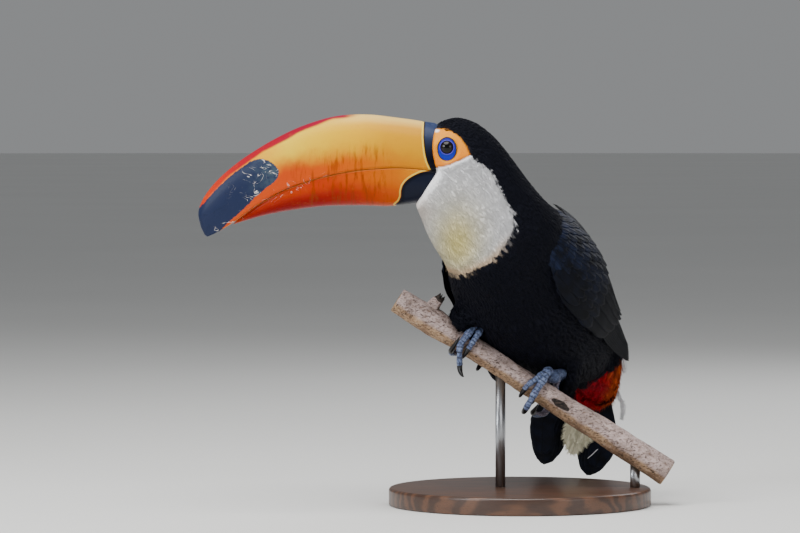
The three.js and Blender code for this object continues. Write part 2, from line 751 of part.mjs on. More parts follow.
// The room that a foot takes out of the belly's feathers.
function footRoom(leg) {
  const toes = leg.toes.map((toe) => {
    const spine = [0, 0.15, 0.3, 0.5, 0.75, 1].map((s) => {
      return toeCentre(leg.station, toe, mix(TOE_START - 8, toe.length, s), toe.radius);
    });
    return bar(spine, perchWay, 6, () => toe.radius * 1.25 + 1);
  });
  return fuse([footPad(leg, 1), shankBar(leg, 1), ...toes]);
}

// The feathered leg: a bulge from inside the belly to round the top of the shank, for each tuft.
function thighBulge(leg) {
  const places = [0, 0.3, 0.5, 0.68, 0.83, 0.94, 1];
  return fuse(leg.tufts.map(({ at, from, to }) => {
    const reach = 1 + (0.8 * to) / leg.hip.distanceTo(at);
    const spine = places.map((place) => leg.hip.clone().lerp(at, reach * place));
    return bar(spine, perchWay, 11, (share) => {
      const place = places[Math.round(share * (places.length - 1))];
      return mix(from, to * 1.1, smooth(place, 0, 0.7)) * Math.sqrt(1.06 - place ** 5);
    });
  }));
}

// ---------------------------------------------------------------- stand

function standBase() {
  const { radius, thick, bevel } = STAND;
  const profile = [
    [0, 0],
    [radius - bevel / 2, 0],
    [radius, bevel / 2],
    [radius, thick - bevel],
    [radius - bevel, thick],
    [0, thick],
  ].map(([x, y]) => new THREE.Vector2(x, y));
  return solidOf(new THREE.LatheGeometry(profile, 36).rotateX(Math.PI / 2));
}

function standRod(along, perchCutter) {
  const foot = besidePerch(along, 0, 0);
  const height = foot.z - STAND.thick - GAP;
  const rod = new THREE.CylinderGeometry(STAND.rod, STAND.rod, height, 16)
    .rotateX(Math.PI / 2)
    .translate(foot.x, foot.y, STAND.thick + GAP + height / 2);
  return largest(solidOf(rod).subtract(perchCutter));
}

// ---------------------------------------------------------------- colours

function finish(color, roughness, metalness = 0) {
  return new THREE.MeshStandardMaterial({ color, roughness, metalness });
}
const finishes = {
  black: finish(0x0c0c10, 0.6),
  white: finish(0xe9e4d0, 0.8),
  red: finish(0xb0120f, 0.8),
  bill: finish(0xf29a12, 0.35),
  eye: finish(0x10131c, 0.1),
  skin: finish(0x5f7fae, 0.55),
  claw: finish(0x17151a, 0.4),
  bark: finish(0xa08a72, 0.85),
  stand: finish(0x4a3a2c, 0.5),
  steel: finish(0x8c8f94, 0.35, 0.9),
};

// ---------------------------------------------------------------- the bird

const toucan = new THREE.Group();

function add(name, solid, material) {
  const mesh = new THREE.Mesh(geometryOf(solid), material);
  mesh.name = name;
  toucan.add(mesh);
  return solid;
}

const NECK_MESH = [HEAD_END, NECK_END, 6, 22];
const TORSO_MESH = [NECK_END, flesh.last, 13, 22];
const fleshCutters = [fleshPiece(...NECK_MESH, 0, GAP), fleshPiece(...TORSO_MESH, 0, GAP)];
const perchCutter = perchBar(20, 12, GAP);
const sides = { left: 1, right: -1 };

add("bill_upper", cutBy(mandible(upperBill, 16, 18, true), ...nostrils()), finishes.bill);
add("bill_lower", mandible(lowerBill, 11, 16, false), finishes.bill);

const headBlank = fuse([fleshPiece(0, HEAD_END, 7, 22), orbitalRing(1), orbitalRing(-1)]);
const sockets = [eyeball(1, GAP), eyeball(-1, GAP)];
add("head", largest(cutBy(headBlank, faceNotch(), ...sockets)), finishes.black);
add("neck", fleshPiece(...NECK_MESH, GAP), finishes.black);
add("eye_left", eyeball(1), finishes.eye);
add("eye_right", eyeball(-1), finishes.eye);

const rooms = Object.values(LEGS).map(footRoom);
for (const [name, leg] of Object.entries(LEGS)) {
  add("foot_" + name, largest(cutBy(footShape(leg), perchCutter)), finishes.skin);
  const thigh = cutBy(thighBulge(leg), fleshCutters[1], perchCutter, ...rooms);
  add("thigh_" + name, largest(thigh), finishes.black);
  for (const toe of leg.toes) {
    const whole = toe.hangs ? hangingClaw(leg.station, toe) : clawBar(leg.station, toe);
    const claw = cutBy(whole, toeBar(leg.station, toe, GAP));
    add("claw_" + name + "_" + toe.name, largest(claw), finishes.claw);
  }
}

add("torso", largest(cutBy(fleshPiece(...TORSO_MESH, GAP), perchCutter, ...rooms)), finishes.black);
for (const [name, side] of Object.entries(sides)) {
  const wing = fuse([wingArm(side), ...wingFeathers(side)]);
  add("wing_" + name, largest(cutBy(wing, ...fleshCutters)), finishes.black);
}

add("tail", largest(cutBy(fuse([tailRoot(), ...tailFeathers()]), fleshCutters[1])), finishes.black);
add("tail_coverts_under", largest(cutBy(fuse(underCoverts()), fleshCutters[1])), finishes.red);
add("tail_coverts_upper", largest(cutBy(fuse(upperCoverts()), fleshCutters[1])), finishes.white);

add("perch", fuse([perchBar(20, 12, 0), perchTwig()]), finishes.bark);
add("stand_base", standBase(), finishes.stand);
add("stand_rod_left", standRod(98, perchCutter), finishes.steel);
add("stand_rod_right", standRod(226, perchCutter), finishes.steel);

export default toucan;
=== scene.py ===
"""A toco toucan at life size on its cut perch: skin, coat, feathers, bill, eyes, feet, perch and stand.

Places and sizes are worked out in millimetres and become metres when a mesh is made.
"""
import math

import bmesh
import bpy
import numpy as np
from mathutils import Matrix, Vector, noise
from mathutils.kdtree import KDTree


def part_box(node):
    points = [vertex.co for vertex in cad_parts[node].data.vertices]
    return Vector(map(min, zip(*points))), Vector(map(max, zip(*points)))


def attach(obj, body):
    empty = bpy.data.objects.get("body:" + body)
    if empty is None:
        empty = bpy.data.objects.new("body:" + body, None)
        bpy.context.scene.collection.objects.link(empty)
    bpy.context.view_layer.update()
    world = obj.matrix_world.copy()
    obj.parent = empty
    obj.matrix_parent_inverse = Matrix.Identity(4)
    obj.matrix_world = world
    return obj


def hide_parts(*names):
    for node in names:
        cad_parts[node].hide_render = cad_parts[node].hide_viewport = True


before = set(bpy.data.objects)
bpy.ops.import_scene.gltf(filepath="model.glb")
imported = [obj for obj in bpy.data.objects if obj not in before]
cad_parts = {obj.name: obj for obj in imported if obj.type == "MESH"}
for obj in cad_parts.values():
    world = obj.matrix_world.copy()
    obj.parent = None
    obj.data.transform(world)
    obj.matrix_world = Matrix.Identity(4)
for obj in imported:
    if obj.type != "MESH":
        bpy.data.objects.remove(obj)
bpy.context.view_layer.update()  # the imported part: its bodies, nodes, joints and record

MM = 0.001
DRAWS = np.random.default_rng(11)

# ------------------------------------------------------------------ driving sizes, in millimetres

HEAD_Y = -42.0  # the head's plane of symmetry
GAPE = np.array([-67.2, HEAD_Y, 268.0])  # where the mouth line meets the face
BODY = {"centre": np.array([14.0, 32.0, 166.0]), "yaw": math.radians(58), "pitch": math.radians(33)}
EYE = {"x": -59.2, "z": 286.6, "radius": 7.6, "aside": 20.4}
EYE_RING = {"opening": 4.9, "wide": 7.7, "tall": 9.6, "drop": 1.4}  # it lies `drop` lower than the eye
TAIL = {
    "root": np.array([66.0, 97.0, 113.0]),
    "way": (-0.205, 0.54, -0.82),
    "roll": math.radians(22),
    "length": 114.0,
}
PERCH = {  # the radii are evenly spaced along it
    "start": np.array([-98.0, 4.0, 164.0]),
    "end": np.array([118.0, -6.0, 25.5]),
    "radii": [10.4, 11.6, 9.2, 9.0, 9.2, 9.6, 10.4, 11.0, 11.2],
}
STAND = {"radius": 105.0, "thick": 14.0, "bevel": 2.5, "rod": 4.0, "rods": (98.0, 226.0)}

# ------------------------------------------------------------------ small sums


def mix(a, b, share):
    return a + (b - a) * share


def smooth(value, low, high):
    t = np.clip((value - low) / (high - low), 0, 1)
    return t * t * (3 - 2 * t)


def unit(vectors):
    return vectors / np.maximum(np.linalg.norm(vectors, axis=-1, keepdims=True), 1e-9)


def dot(a, b):
    return np.sum(a * b, axis=-1)


def across(normals, ways):
    """The ways with what points along the normals taken out, at unit length."""
    return unit(ways - normals * dot(normals, ways)[..., None])


def paint(code):
    """A colour written as 0xRRGGBB, as the linear numbers that a shader takes."""
    parts = [(code >> shift & 255) / 255 for shift in (16, 8, 0)]
    return tuple(p / 12.92 if p <= 0.04045 else ((p + 0.055) / 1.055) ** 2.4 for p in parts)


class Keyed:
    """Rows of numbers read smoothly at any place between them."""

    def __init__(self, rows):
        self.rows = np.array(rows, float)
        self.last = len(rows) - 1

    def at(self, place):
        r = self.rows
        spread = np.vstack([2 * r[0] - r[1], r, 2 * r[-1] - r[-2]])
        place = np.clip(np.asarray(place, float), 0, self.last)
        i = np.minimum(place.astype(int), self.last - 1)
        t = (place - i)[..., None]
        p0, p1, p2, p3 = (spread[i + k] for k in range(4))
        m1, m2 = 0.5 * (p2 - p0), 0.5 * (p3 - p1)
        turn = (2 * p1 - 2 * p2 + m1 + m2) * t ** 3 + (-3 * p1 + 3 * p2 - 2 * m1 - m2) * t ** 2
        return turn + m1 * t + p1


def inside_by(points, outline):
    """How far points of a plane lie inside a closed outline, and below zero outside it."""
    outline = np.array(outline, float)
    nearest = np.full(len(points), np.inf)
    inside = np.zeros(len(points), bool)
    for a, b in zip(outline, np.roll(outline, -1, axis=0)):
        way = b - a
        share = np.clip((points - a) @ way / (way @ way), 0, 1)
        nearest = np.minimum(nearest, np.linalg.norm(points - a - share[:, None] * way, axis=1))
        crosses = (a[1] > points[:, 1]) != (b[1] > points[:, 1])
        rise = way[1] if abs(way[1]) > 1e-9 else 1e-9
        inside ^= crosses & (points[:, 0] < a[0] + (points[:, 1] - a[1]) * way[0] / rise)
    return np.where(inside, nearest, -nearest)


def rounded(outline):
    """A closed outline with its corners cut."""
    points = np.array(outline, float)
    after = np.roll(points, -1, axis=0)
    return np.stack([0.75 * points + 0.25 * after, 0.25 * points + 0.75 * after], axis=1).reshape(-1, 2)


def ripple(points, size, seed=0.0):
    """Smooth noise from -1 to 1 at points in millimetres, for features of about the given size."""
    shift = Vector((seed, 2.7 * seed, -1.3 * seed))
    return np.array([noise.noise(Vector(p) / size + shift) for p in np.asarray(points).reshape(-1, 3)])


# ------------------------------------------------------------------ frames of the body, tail, bill and perch

FORWARD = np.array([
    -math.cos(BODY["pitch"]) * math.cos(BODY["yaw"]),
    -math.cos(BODY["pitch"]) * math.sin(BODY["yaw"]),
    math.sin(BODY["pitch"]),
])
LEFT = np.array([math.sin(BODY["yaw"]), -math.cos(BODY["yaw"]), 0.0])
DORSAL = np.cross(FORWARD, LEFT)


def in_body(along, aside, up):
    along, aside, up = (np.asarray(v, float)[..., None] for v in (along, aside, up))
    return BODY["centre"] + along * FORWARD + aside * LEFT + up * DORSAL


def turned_about(vector, axis, angle):
    return (
        vector * math.cos(angle)
        + np.cross(axis, vector) * math.sin(angle)
        + axis * np.dot(axis, vector) * (1 - math.cos(angle))
    )


def body_places(points):
    """How far points lie ahead of the body's centre, to its left and towards its back."""
    local = points - BODY["centre"]
    return local @ FORWARD, local @ LEFT, local @ DORSAL


TAIL_WAY = unit(np.array(TAIL["way"]))
TAIL_LEFT = turned_about(across(TAIL_WAY, LEFT), TAIL_WAY, -TAIL["roll"])
TAIL_UP = np.cross(TAIL_LEFT, TAIL_WAY)


def in_tail(along, aside, up):
    along, aside, up = (np.asarray(v, float)[..., None] for v in (along, aside, up))
    return TAIL["root"] + along * TAIL_WAY + aside * TAIL_LEFT + up * TAIL_UP


def tail_places(points):
    """How far points lie down the tail from its root, to its left and over it."""
    local = points - TAIL["root"]
    return local @ TAIL_WAY, local @ TAIL_LEFT, local @ TAIL_UP


def in_bill(ahead, up):
    ahead, up = np.asarray(ahead, float), np.asarray(up, float)
    return np.stack([GAPE[0] - ahead, np.full_like(ahead, HEAD_Y), GAPE[2] + up], axis=-1)


def eye_centre(side):
    """The eye's centre, on the bird's left for side 1 and on its right for side -1."""
    return np.array([EYE["x"], HEAD_Y - side * EYE["aside"], EYE["z"]])


PERCH_LENGTH = float(np.linalg.norm(PERCH["end"] - PERCH["start"]))
PERCH_WAY = (PERCH["end"] - PERCH["start"]) / PERCH_LENGTH
PERCH_FRONT = unit(np.cross(PERCH_WAY, (0.0, 0.0, 1.0)))
PERCH_UP = unit(np.cross(PERCH_FRONT, PERCH_WAY))


def perch_places(points):
    """How far points lie along the perch, and their ways from its axis."""
    local = points - PERCH["start"]
    along = local @ PERCH_WAY
    return along, local - np.outer(along, PERCH_WAY)


def perch_radius(along):
    place = np.clip(np.asarray(along, float) / PERCH_LENGTH, 0, 1) * (len(PERCH["radii"]) - 1)
    i = np.minimum(place.astype(int), len(PERCH["radii"]) - 2)
    radii = np.array(PERCH["radii"])
    return mix(radii[i], radii[i + 1], smooth(place - i, 0, 1))


def beside_perch(along, turn, radius):
    """A point beside the perch's axis: turn runs from its upper side, 0, over the front."""
    along, turn, radius = (np.asarray(v, float)[..., None] for v in (along, turn, radius))
    return (
        PERCH["start"]
        + along * PERCH_WAY
        + radius * np.cos(turn) * PERCH_UP
        + radius * np.sin(turn) * PERCH_FRONT
    )


# ------------------------------------------------------------------ meshes


def write(mesh, name, values):
    """Keeps a number or a colour for each vertex of a mesh, for its material to read."""
    values = np.asarray(values, np.float32)
    if values.ndim == 1:
        mesh.attributes.new(name, "FLOAT", "POINT").data.foreach_set("value", values)
    else:
        full = np.hstack([values, np.ones((len(values), 1), np.float32)])
        mesh.attributes.new(name, "FLOAT_COLOR", "POINT").data.foreach_set("color", full.ravel())


def points_of(mesh):
    """A mesh's vertices, in millimetres."""
    flat = np.empty(len(mesh.vertices) * 3, np.float32)
    mesh.vertices.foreach_get("co", flat)
    return flat.reshape(-1, 3).astype(float) / MM


def move(mesh, points):
    """Puts a mesh's vertices at points given in millimetres."""
    mesh.vertices.foreach_set("co", (points * MM).astype(np.float32).ravel())
    mesh.update()


def normals_of(mesh):
    flat = np.empty(len(mesh.vertices) * 3, np.float32)
    mesh.vertex_normals.foreach_get("vector", flat)
    return flat.reshape(-1, 3).astype(float)


def to_mesh(bm, name):
    mesh = bpy.data.meshes.new(name)
    bm.to_mesh(mesh)
    bm.free()
    return mesh


def linked(mesh):
    """An object of the scene with this mesh, and its name."""
    made = bpy.data.objects.new(mesh.name, mesh)
    bpy.context.scene.collection.objects.link(made)
    return made


def piece(mesh, material, nodes=()):
    """A finished piece of the bird or its stand, which stands for the solids named."""
    made = linked(mesh)
    mesh.materials.append(material)
    mesh.shade_smooth()
    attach(made, "root")
    if nodes:
        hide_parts(*nodes)
    return made


def rolled(bm, rings):
    """A grid rolled up on rings of equally many points, with its seam still to be merged."""
    rows, sides = rings.shape[0] - 1, rings.shape[1]
    made = bmesh.ops.create_grid(bm, x_segments=rows, y_segments=sides, size=1)["verts"]
    for vert in made:
        row = round((vert.co.x + 1) / 2 * rows)
        column = round((vert.co.y + 1) / 2 * sides) % sides
        vert.co = rings[row, column] * MM
    return made


def tube(bm, rings):
    """A closed skin over rings of equally many points."""
    made = rolled(bm, rings)
    ends = [v for v in made if v.is_boundary]
    bmesh.ops.remove_doubles(bm, verts=ends, dist=2e-6)
    made = [v for v in made if v.is_valid]
    rims = {e for v in made for e in v.link_edges if e.is_boundary}
    bmesh.ops.holes_fill(bm, edges=list(rims), sides=0)
    faces = {f for v in made for f in v.link_faces}
    bmesh.ops.recalc_face_normals(bm, faces=list(faces))


def cylinder(bm, radius, depth, segments, matrix):
    """A closed cylinder along the matrix's Z axis, with its middle at the matrix's place."""
    sizes = {"radius1": radius * MM, "radius2": radius * MM, "depth": depth * MM}
    bmesh.ops.create_cone(bm, cap_ends=True, segments=segments, matrix=matrix, **sizes)


def bar_rings(spine, radii, sides, reference, flat=1.0):
    """Rings round a line of points. radii has a row of numbers, one for each side, or one number a ring."""
    ways = unit(np.gradient(spine, axis=0))
    out = unit(np.cross(ways, reference))
    along = np.cross(ways, out)
    turn = np.linspace(0, 2 * math.pi, sides, endpoint=False)
    radii = np.broadcast_to(np.asarray(radii, float).reshape(len(spine), -1), (len(spine), sides))
    return (
        spine[:, None]
        + (radii * np.cos(turn))[..., None] * out[:, None]
        + (radii * np.sin(turn) * flat)[..., None] * along[:, None]
    )


class Pile:
    """Gathers many small closed shapes of one piece, each given as arrays."""

    def __init__(self):
        self.points, self.faces, self.values, self.patches = [], [], {}, []
        self.count = 0

    def add(self, points, faces, patch=None, **values):
        self.points.append(points)
        self.faces.append(np.where(faces >= 0, faces + self.count, -1))
        for name, value in values.items():
            self.values.setdefault(name, []).append(value)
        if patch is not None:
            self.patches.append(patch)
        self.count += len(points)

    def mesh(self, name):
        points = np.concatenate(self.points) * MM
        faces = np.concatenate(self.faces)
        sizes = np.where(faces[:, 3] < 0, 3, 4)
        corners = faces.ravel()
        corners = corners[corners >= 0]
        mesh = bpy.data.meshes.new(name)
        mesh.vertices.add(len(points))
        mesh.vertices.foreach_set("co", points.astype(np.float32).ravel())
        mesh.loops.add(len(corners))
        mesh.loops.foreach_set("vertex_index", corners.astype(np.int32))
        mesh.polygons.add(len(faces))
        starts = np.concatenate([[0], np.cumsum(sizes)[:-1]]).astype(np.int32)
        mesh.polygons.foreach_set("loop_start", starts)
        mesh.update(calc_edges=True)
        mesh.validate()
        for key, value in self.values.items():
            write(mesh, key, np.concatenate(value))
        if self.patches:
            layer = mesh.uv_layers.new(name="OFBake")
            layer.data.foreach_set("uv", np.concatenate(self.patches)[corners].astype(np.float32).ravel())
        return mesh


# ------------------------------------------------------------------ shader expressions


class Socket:
    """A value in a shader. Sums on it add the nodes that work them out."""

    def __init__(self, finish, output):
        self.finish, self.output = finish, output

    def _math(self, operation, *values):
        return self.finish.add("ShaderNodeMath", {"operation": operation}, dict(enumerate(values)))

    def __add__(self, other):
        return self._math("ADD", self, other)

    def __sub__(self, other):
        return self._math("SUBTRACT", self, other)

    def __mul__(self, other):
        return self._math("MULTIPLY", self, other)

    def __rsub__(self, other):
        return self._math("SUBTRACT", other, self)

    __radd__ = __add__

    def sine(self):
        return self._math("SINE", self)

    def absolute(self):
        return self._math("ABSOLUTE", self)

    def step(self, low, high):
        """0 up to low and 1 from high, or the other way round where high is below low."""
        settings = {"interpolation_type": "SMOOTHSTEP"}
        if low < high:
            sockets = {"Value": self, "From Min": low, "From Max": high}
            return self.finish.add("ShaderNodeMapRange", settings, sockets)
        return 1 - self.step(high, low)


class Finish:
    """A material in the making: `add` makes one node and gives its output back as a Socket."""

    def __init__(self, name, **surface):
        self.material = bpy.data.materials.new(name)
        self.material.use_nodes = True
        self.nodes, self.links = self.material.node_tree.nodes, self.material.node_tree.links
        self.surface = self.nodes["Principled BSDF"]
        self.set(**surface)

    def join(self, socket, value):
        """Feeds a node's socket with a Socket, with a colour as 0xRRGGBB or with a plain value."""
        if isinstance(value, Socket):
            self.links.new(value.output, socket)
        elif socket.type == "RGBA":
            socket.default_value = (*paint(value), 1)
        else:
            socket.default_value = value

    def add(self, kind, settings=None, sockets=None, output=0):
        node = self.nodes.new(kind)
        for key, value in (settings or {}).items():
            setattr(node, key, value)
        for key, value in (sockets or {}).items():
            self.join(node.inputs[key], value)
        return Socket(self, node.outputs[output])

    def set(self, **surface):
        """Sets inputs of the surface and gives the material back."""
        for key, value in surface.items():
            self.join(self.surface.inputs[key.replace("_", " ")], value)
        return self.material

    def value(self, name):
        return self.add("ShaderNodeAttribute", {"attribute_name": name}, output="Fac")

    def colour(self, name):
        return self.add("ShaderNodeAttribute", {"attribute_name": name}, output="Color")

    def place(self, stretch=(1, 1, 1), turn=(0, 0, 0)):
        """The place on the piece in millimetres, stretched and turned for a pattern."""
        own = self.add("ShaderNodeTexCoord", output="Object")
        scale = tuple(s / MM for s in stretch)
        return self.add("ShaderNodeMapping", None, {"Vector": own, "Scale": scale, "Rotation": turn})

    def parts(self, vector):
        split = self.nodes.new("ShaderNodeSeparateXYZ")
        self.links.new(vector.output, split.inputs[0])
        return [Socket(self, out) for out in split.outputs]

    def joined(self, x, y, z):
        return self.add("ShaderNodeCombineXYZ", None, {0: x, 1: y, 2: z})

    def noise(self, vector, size, detail=3.0, rough=0.5, warp=0.0):
        sockets = {
            "Vector": vector, "Scale": 1 / size, "Detail": detail, "Roughness": rough, "Distortion": warp,
        }
        return self.add("ShaderNodeTexNoise", None, sockets)

    def cells(self, vector, size, feature="F1"):
        return self.add("ShaderNodeTexVoronoi", {"feature": feature}, {"Vector": vector, "Scale": 1 / size})

    def blend(self, a, b, factor):
        return self.add("ShaderNodeMix", {"data_type": "RGBA"}, {0: factor, 6: a, 7: b}, output=2)

    def ramp(self, value, stops):
        """Colours along a value, from a list of (place, colour)."""
        node = self.nodes.new("ShaderNodeValToRGB")
        edges = node.color_ramp.elements
        while len(edges) < len(stops):
            edges.new(1.0)
        for edge, (place, code) in zip(edges, stops):
            edge.position = place
            edge.color = (*paint(code), 1)
        self.links.new(value.output, node.inputs[0])
        return Socket(self, node.outputs[0])

    def bump(self, height, depth, strength=1.0):
        """A relief whose height of 1 stands depth millimetres proud."""
        sockets = {"Height": height, "Distance": depth * MM, "Strength": strength}
        return self.add("ShaderNodeBump", None, sockets)


# ------------------------------------------------------------------ markings

# Outlines seen square to the head's plane of symmetry, as (X, Z).
BIB = rounded([
    (-65.9, 271.2), (-59.2, 272.2), (-53.4, 275), (-47.5, 277.4), (-41.2, 281.2), (-30.1, 273.6),
    (-23.3, 266.8), (-18.4, 256.2), (-13.6, 247.4), (-8.8, 238.6), (-6.4, 230.9), (-6.8, 223.2),
    (-10.6, 213.4), (-16.5, 204.8), (-24.2, 196), (-37.8, 189.2), (-49.4, 184.4), (-59.2, 188.2), (-75, 187),
    (-95, 215), (-103, 245), (-92, 262), (-70, 266),
])
FACE = rounded([
    (-69, 300.8), (-62.1, 301.4), (-55.3, 299.4), (-49.6, 295.4), (-45.6, 290.1), (-42.6, 284.4),
    (-41, 280.6), (-47.5, 277.4), (-53.4, 275), (-59.2, 272.2), (-65.9, 271.2), (-80, 270), (-84, 300),
])
FACE_SPOT = np.array([-67.0, 299.6])  # a pale spot where the face, the crown and the bill meet
BLACK = np.array(paint(0x090B16))
WHITE = np.array(paint(0xF8F8FC))
CREAM = np.array(paint(0xF0E29A))
PINK = np.array(paint(0xEECAA0))
ORANGE = np.array(paint(0xE48E00))
LOW_ORANGE = np.array(paint(0xDC7C08))
PALE_ORANGE = np.array(paint(0xECA430))
RED = np.array(paint(0xA8081E))
RED_ORANGE = np.array(paint(0xB04A10))
IVORY = np.array(paint(0xE4DEC8))


def bib_share(points):
    """How far the plumage is the bib's white, from 0 to 1."""
    return smooth(inside_by(points[:, [0, 2]], BIB) + 0.8 * ripple(points, 5.0), -0.1, 0.9)


def vent_share(points):
    """How far the plumage is the vent's red, from 0 to 1: it starts farthest back in the middle."""
    along, aside, _ = body_places(points)
    line = np.minimum(-107.5 + 0.55 * np.abs(aside), -93)
    below = smooth(tail_places(points)[2], -2.5, -3.5)
    return smooth(line - along + 1.5 * ripple(points, 5.0), -2.5, 2.5) * below


def rump_share(points):
    """How far the plumage is the rump's ivory, from 0 to 1."""
    along, _, up = tail_places(points)
    return smooth(along + 0.35 * np.abs(up) + 1.5 * ripple(points, 5.0), -25, -23) * smooth(up, -2.0, -1.0)


def glow(flat, middle, spread):
    """1 in the middle of a soft spot, and less and less round it."""
    off = (flat - middle) / spread
    return np.exp(-off[:, :1] ** 2 - off[:, 1:] ** 2)


def markings(points):
    """The colour of the plumage and bare skin at points of the bird."""
    flat = points[:, [0, 2]]
    white = mix(WHITE, CREAM, glow(flat, (-51, 211), (19, 29)))
    low = smooth(flat[:, 1], 224, 198) * smooth(inside_by(flat, BIB), 8, 1)
    white = mix(white, PINK, 0.75 * low[:, None])
    # Painted shade of the bill: a darker pinkish spot on the bib just under the bill's base.
    white = mix(white, PINK * 0.85, 0.35 * glow(flat, (-80, 236), (9, 12)))
    colour = mix(BLACK, white, bib_share(points)[:, None])
    soft = mix(0.8, 2.2, smooth(flat[:, 1], 283, 276))
    face = smooth((inside_by(flat, FACE) + 0.4 * ripple(points, 5.0, 3.0)) / soft, -1, 1)[:, None]
    bare = mix(ORANGE, LOW_ORANGE, smooth(flat[:, 1:], 292, 276))
    bare = mix(bare, PALE_ORANGE, 0.8 * smooth(eye_distance(points), 1.2, 1.0)[:, None])
    spot = smooth(np.linalg.norm((flat - FACE_SPOT) / (1.6, 1.1), axis=1), 1.3, 0.7)[:, None]
    colour = mix(colour, mix(bare, WHITE, spot), face)
    crissum = mix(RED, RED_ORANGE, smooth(tail_places(points)[1], 10, 21)[:, None])
    return mix(mix(colour, crissum, vent_share(points)[:, None]), IVORY, rump_share(points)[:, None])


def eye_distance(points):
    """How many times the eye ring's size a point lies from its middle, seen square to the head."""
    up = points[:, 2] - EYE["z"] + EYE_RING["drop"]
    return np.hypot((points[:, 0] - EYE["x"]) / EYE_RING["wide"], up / EYE_RING["tall"])


# ------------------------------------------------------------------ plumage, skin and bare parts


def plumage_finish():
    coat = Finish("soft_plumage", Roughness=0.7, Specular_IOR_Level=0.1)
    barbs = ((coat.value("along") - coat.value("aside").absolute() * 1.4) * 5.0).sine()
    patches = coat.noise(coat.place(), 14.0, 2.0).step(0.3, 0.7)
    tint = coat.blend(coat.colour("tint"), 0x000000, patches * 0.12)
    return coat.set(Base_Color=tint, Normal=coat.bump(barbs, 0.03, 0.5))


def skin_finish():
    hide = Finish("bird_skin", Specular_IOR_Level=0.15)
    bare = hide.value("bare").step(-0.6, 0.6)
    grains = hide.cells(hide.place(), 0.7, "SMOOTH_F1")
    folds = hide.noise(hide.place((1, 1, 0.4)), 2.6, 3.0, 0.55)
    relief = (grains * 0.7 + folds) * bare
    shade = hide.blend(hide.colour("tint"), 0xC8640A, grains.step(0.3, 0.85) * bare * 0.3)
    return hide.set(Base_Color=shade, Roughness=0.62 - bare * 0.14, Normal=hide.bump(relief, 0.22))


def vane_finish():
    vane = Finish("flight_feathers", Coat_Roughness=0.4, Specular_IOR_Level=0.08)
    along, aside = vane.value("along"), vane.value("aside")
    barbs = ((along - aside.absolute() * 1.3) * 7.5).sine()
    shaft = aside.absolute().step(0.75, 0.25)
    worn = vane.noise(vane.place(), 9.0, 3.0)
    sheen = vane.value("sheen")
    # Painted sheen: the colour turns a lighter blue-black where the feather's sheen value is high, most on
    # the shoulder's coverts; that value also gives a faint clear coat.
    base = vane.blend(0x06070C, 0x1C2642, sheen * worn.step(0.25, 0.75))
    edged = vane.blend(base, 0x1C1E28, vane.value("rim").step(0.86, 1.0) * 0.4)
    return vane.set(
        Base_Color=vane.blend(edged, 0x050507, shaft * 0.6),
        Roughness=0.62 - worn * 0.12,
        Coat_Weight=sheen * 0.05,
        Normal=vane.bump(barbs * 0.5 + shaft, 0.12, 0.6),
    )


# ------------------------------------------------------------------ the skin

FLESH = ("head", "neck", "torso", "thigh_left", "thigh_right")
# The line that the plumage streams along, from the face to the tail's root.
STREAM = Keyed([
    (-80, -42, 273.5), (-67.5, -42, 271), (-57, -42, 264), (-46.6, -42, 252.5), (-36.8, -42, 240),
    (-26.5, -37, 224.5), (-15.5, -26, 208), (-5.5, 0.7, 190), (7.8, 22, 173.6), (21.1, 43.4, 157.3),
    (34.5, 64.7, 141), (47, 86, 126), (60, 104, 108),
])
# Each toe leaves the pad `start` millimetres beside the foot's station on the perch and ends `end` beside it,
# `length` degrees round the perch: over the front for way 1, over the back for way -1. A tuft is a place and
# a radius where the coat follows the leg.
LEGS = {
    "left": {
        "station": 138.0, "ankle": (36, 20, 98), "hip": (34, 30, 140), "tufts": [((36, 20, 97), 15)],
        "toes": [
            {"name": "inner", "way": 1, "start": -7, "end": -14, "length": 114, "radius": 2.5},
            {"name": "middle", "way": 1, "start": -5.5, "end": -5.5, "length": 150, "radius": 3.1,
             "drop": 7, "sway": 1},
            {"name": "outer", "way": -1, "start": 3.5, "end": 10.5, "length": 192, "radius": 2.8,
             "drop": 5, "sway": -9},
            {"name": "hind", "way": -1, "start": -1, "end": -2.5, "length": 112, "radius": 2.7},
        ],
    },
    "right": {
        "station": 63.0, "ankle": (-14, 23, 109), "hip": (-18, 28, 150),
        "tufts": [((-14, 23, 106), 13), ((-44, -2, 149), 15.5)],
        "toes": [
            {"name": "middle", "way": 1, "start": 0, "end": -1.5, "length": 152, "radius": 2.9,
             "drop": 6.5, "sway": 10, "hangs": True},
            {"name": "inner", "way": 1, "start": 6, "end": 6, "length": 100, "radius": 2.6},
            {"name": "outer", "way": -1, "start": -3, "end": -1, "length": 208, "radius": 2.8,
             "sway": -4, "claw": 72},
            {"name": "hind", "way": -1, "start": 5, "end": 21, "length": 128, "radius": 2.6},
        ],
    },
}

# The shell of a folded wing at places along the body: its half width, height and depth.
WING_ALONG = np.array([90, 66, 42, 14, -16, -46, -76, -112], float)
WING_SHELL = Keyed([
    (39, 38, 38), (50, 52.5, 50), (54.5, 60, 57), (57, 60, 62),
    (55.5, 56, 61), (50, 46, 55), (45.5, 37, 45), (40, 30, 34),
])


def wing_spot(side, along, turn, lift):
    """A spot on the shell of a folded wing, the way out of it, and the shell's radius there."""
    along, turn, lift = np.broadcast_arrays(*(np.asarray(v, float) for v in (along, turn, lift)))
    place = np.interp(along, WING_ALONG[::-1], np.arange(len(WING_ALONG))[::-1])
    half, up, down = np.moveaxis(WING_SHELL.at(place), -1, 0)
    height = np.where(np.cos(turn) > 0, up, down)
    out = unit((side * np.sin(turn) / half)[..., None] * LEFT + (np.cos(turn) / height)[..., None] * DORSAL)
    point = in_body(along, side * half * np.sin(turn), height * np.cos(turn)) + out * lift[..., None]
    return point, out, mix(height, half, np.abs(np.sin(turn)))


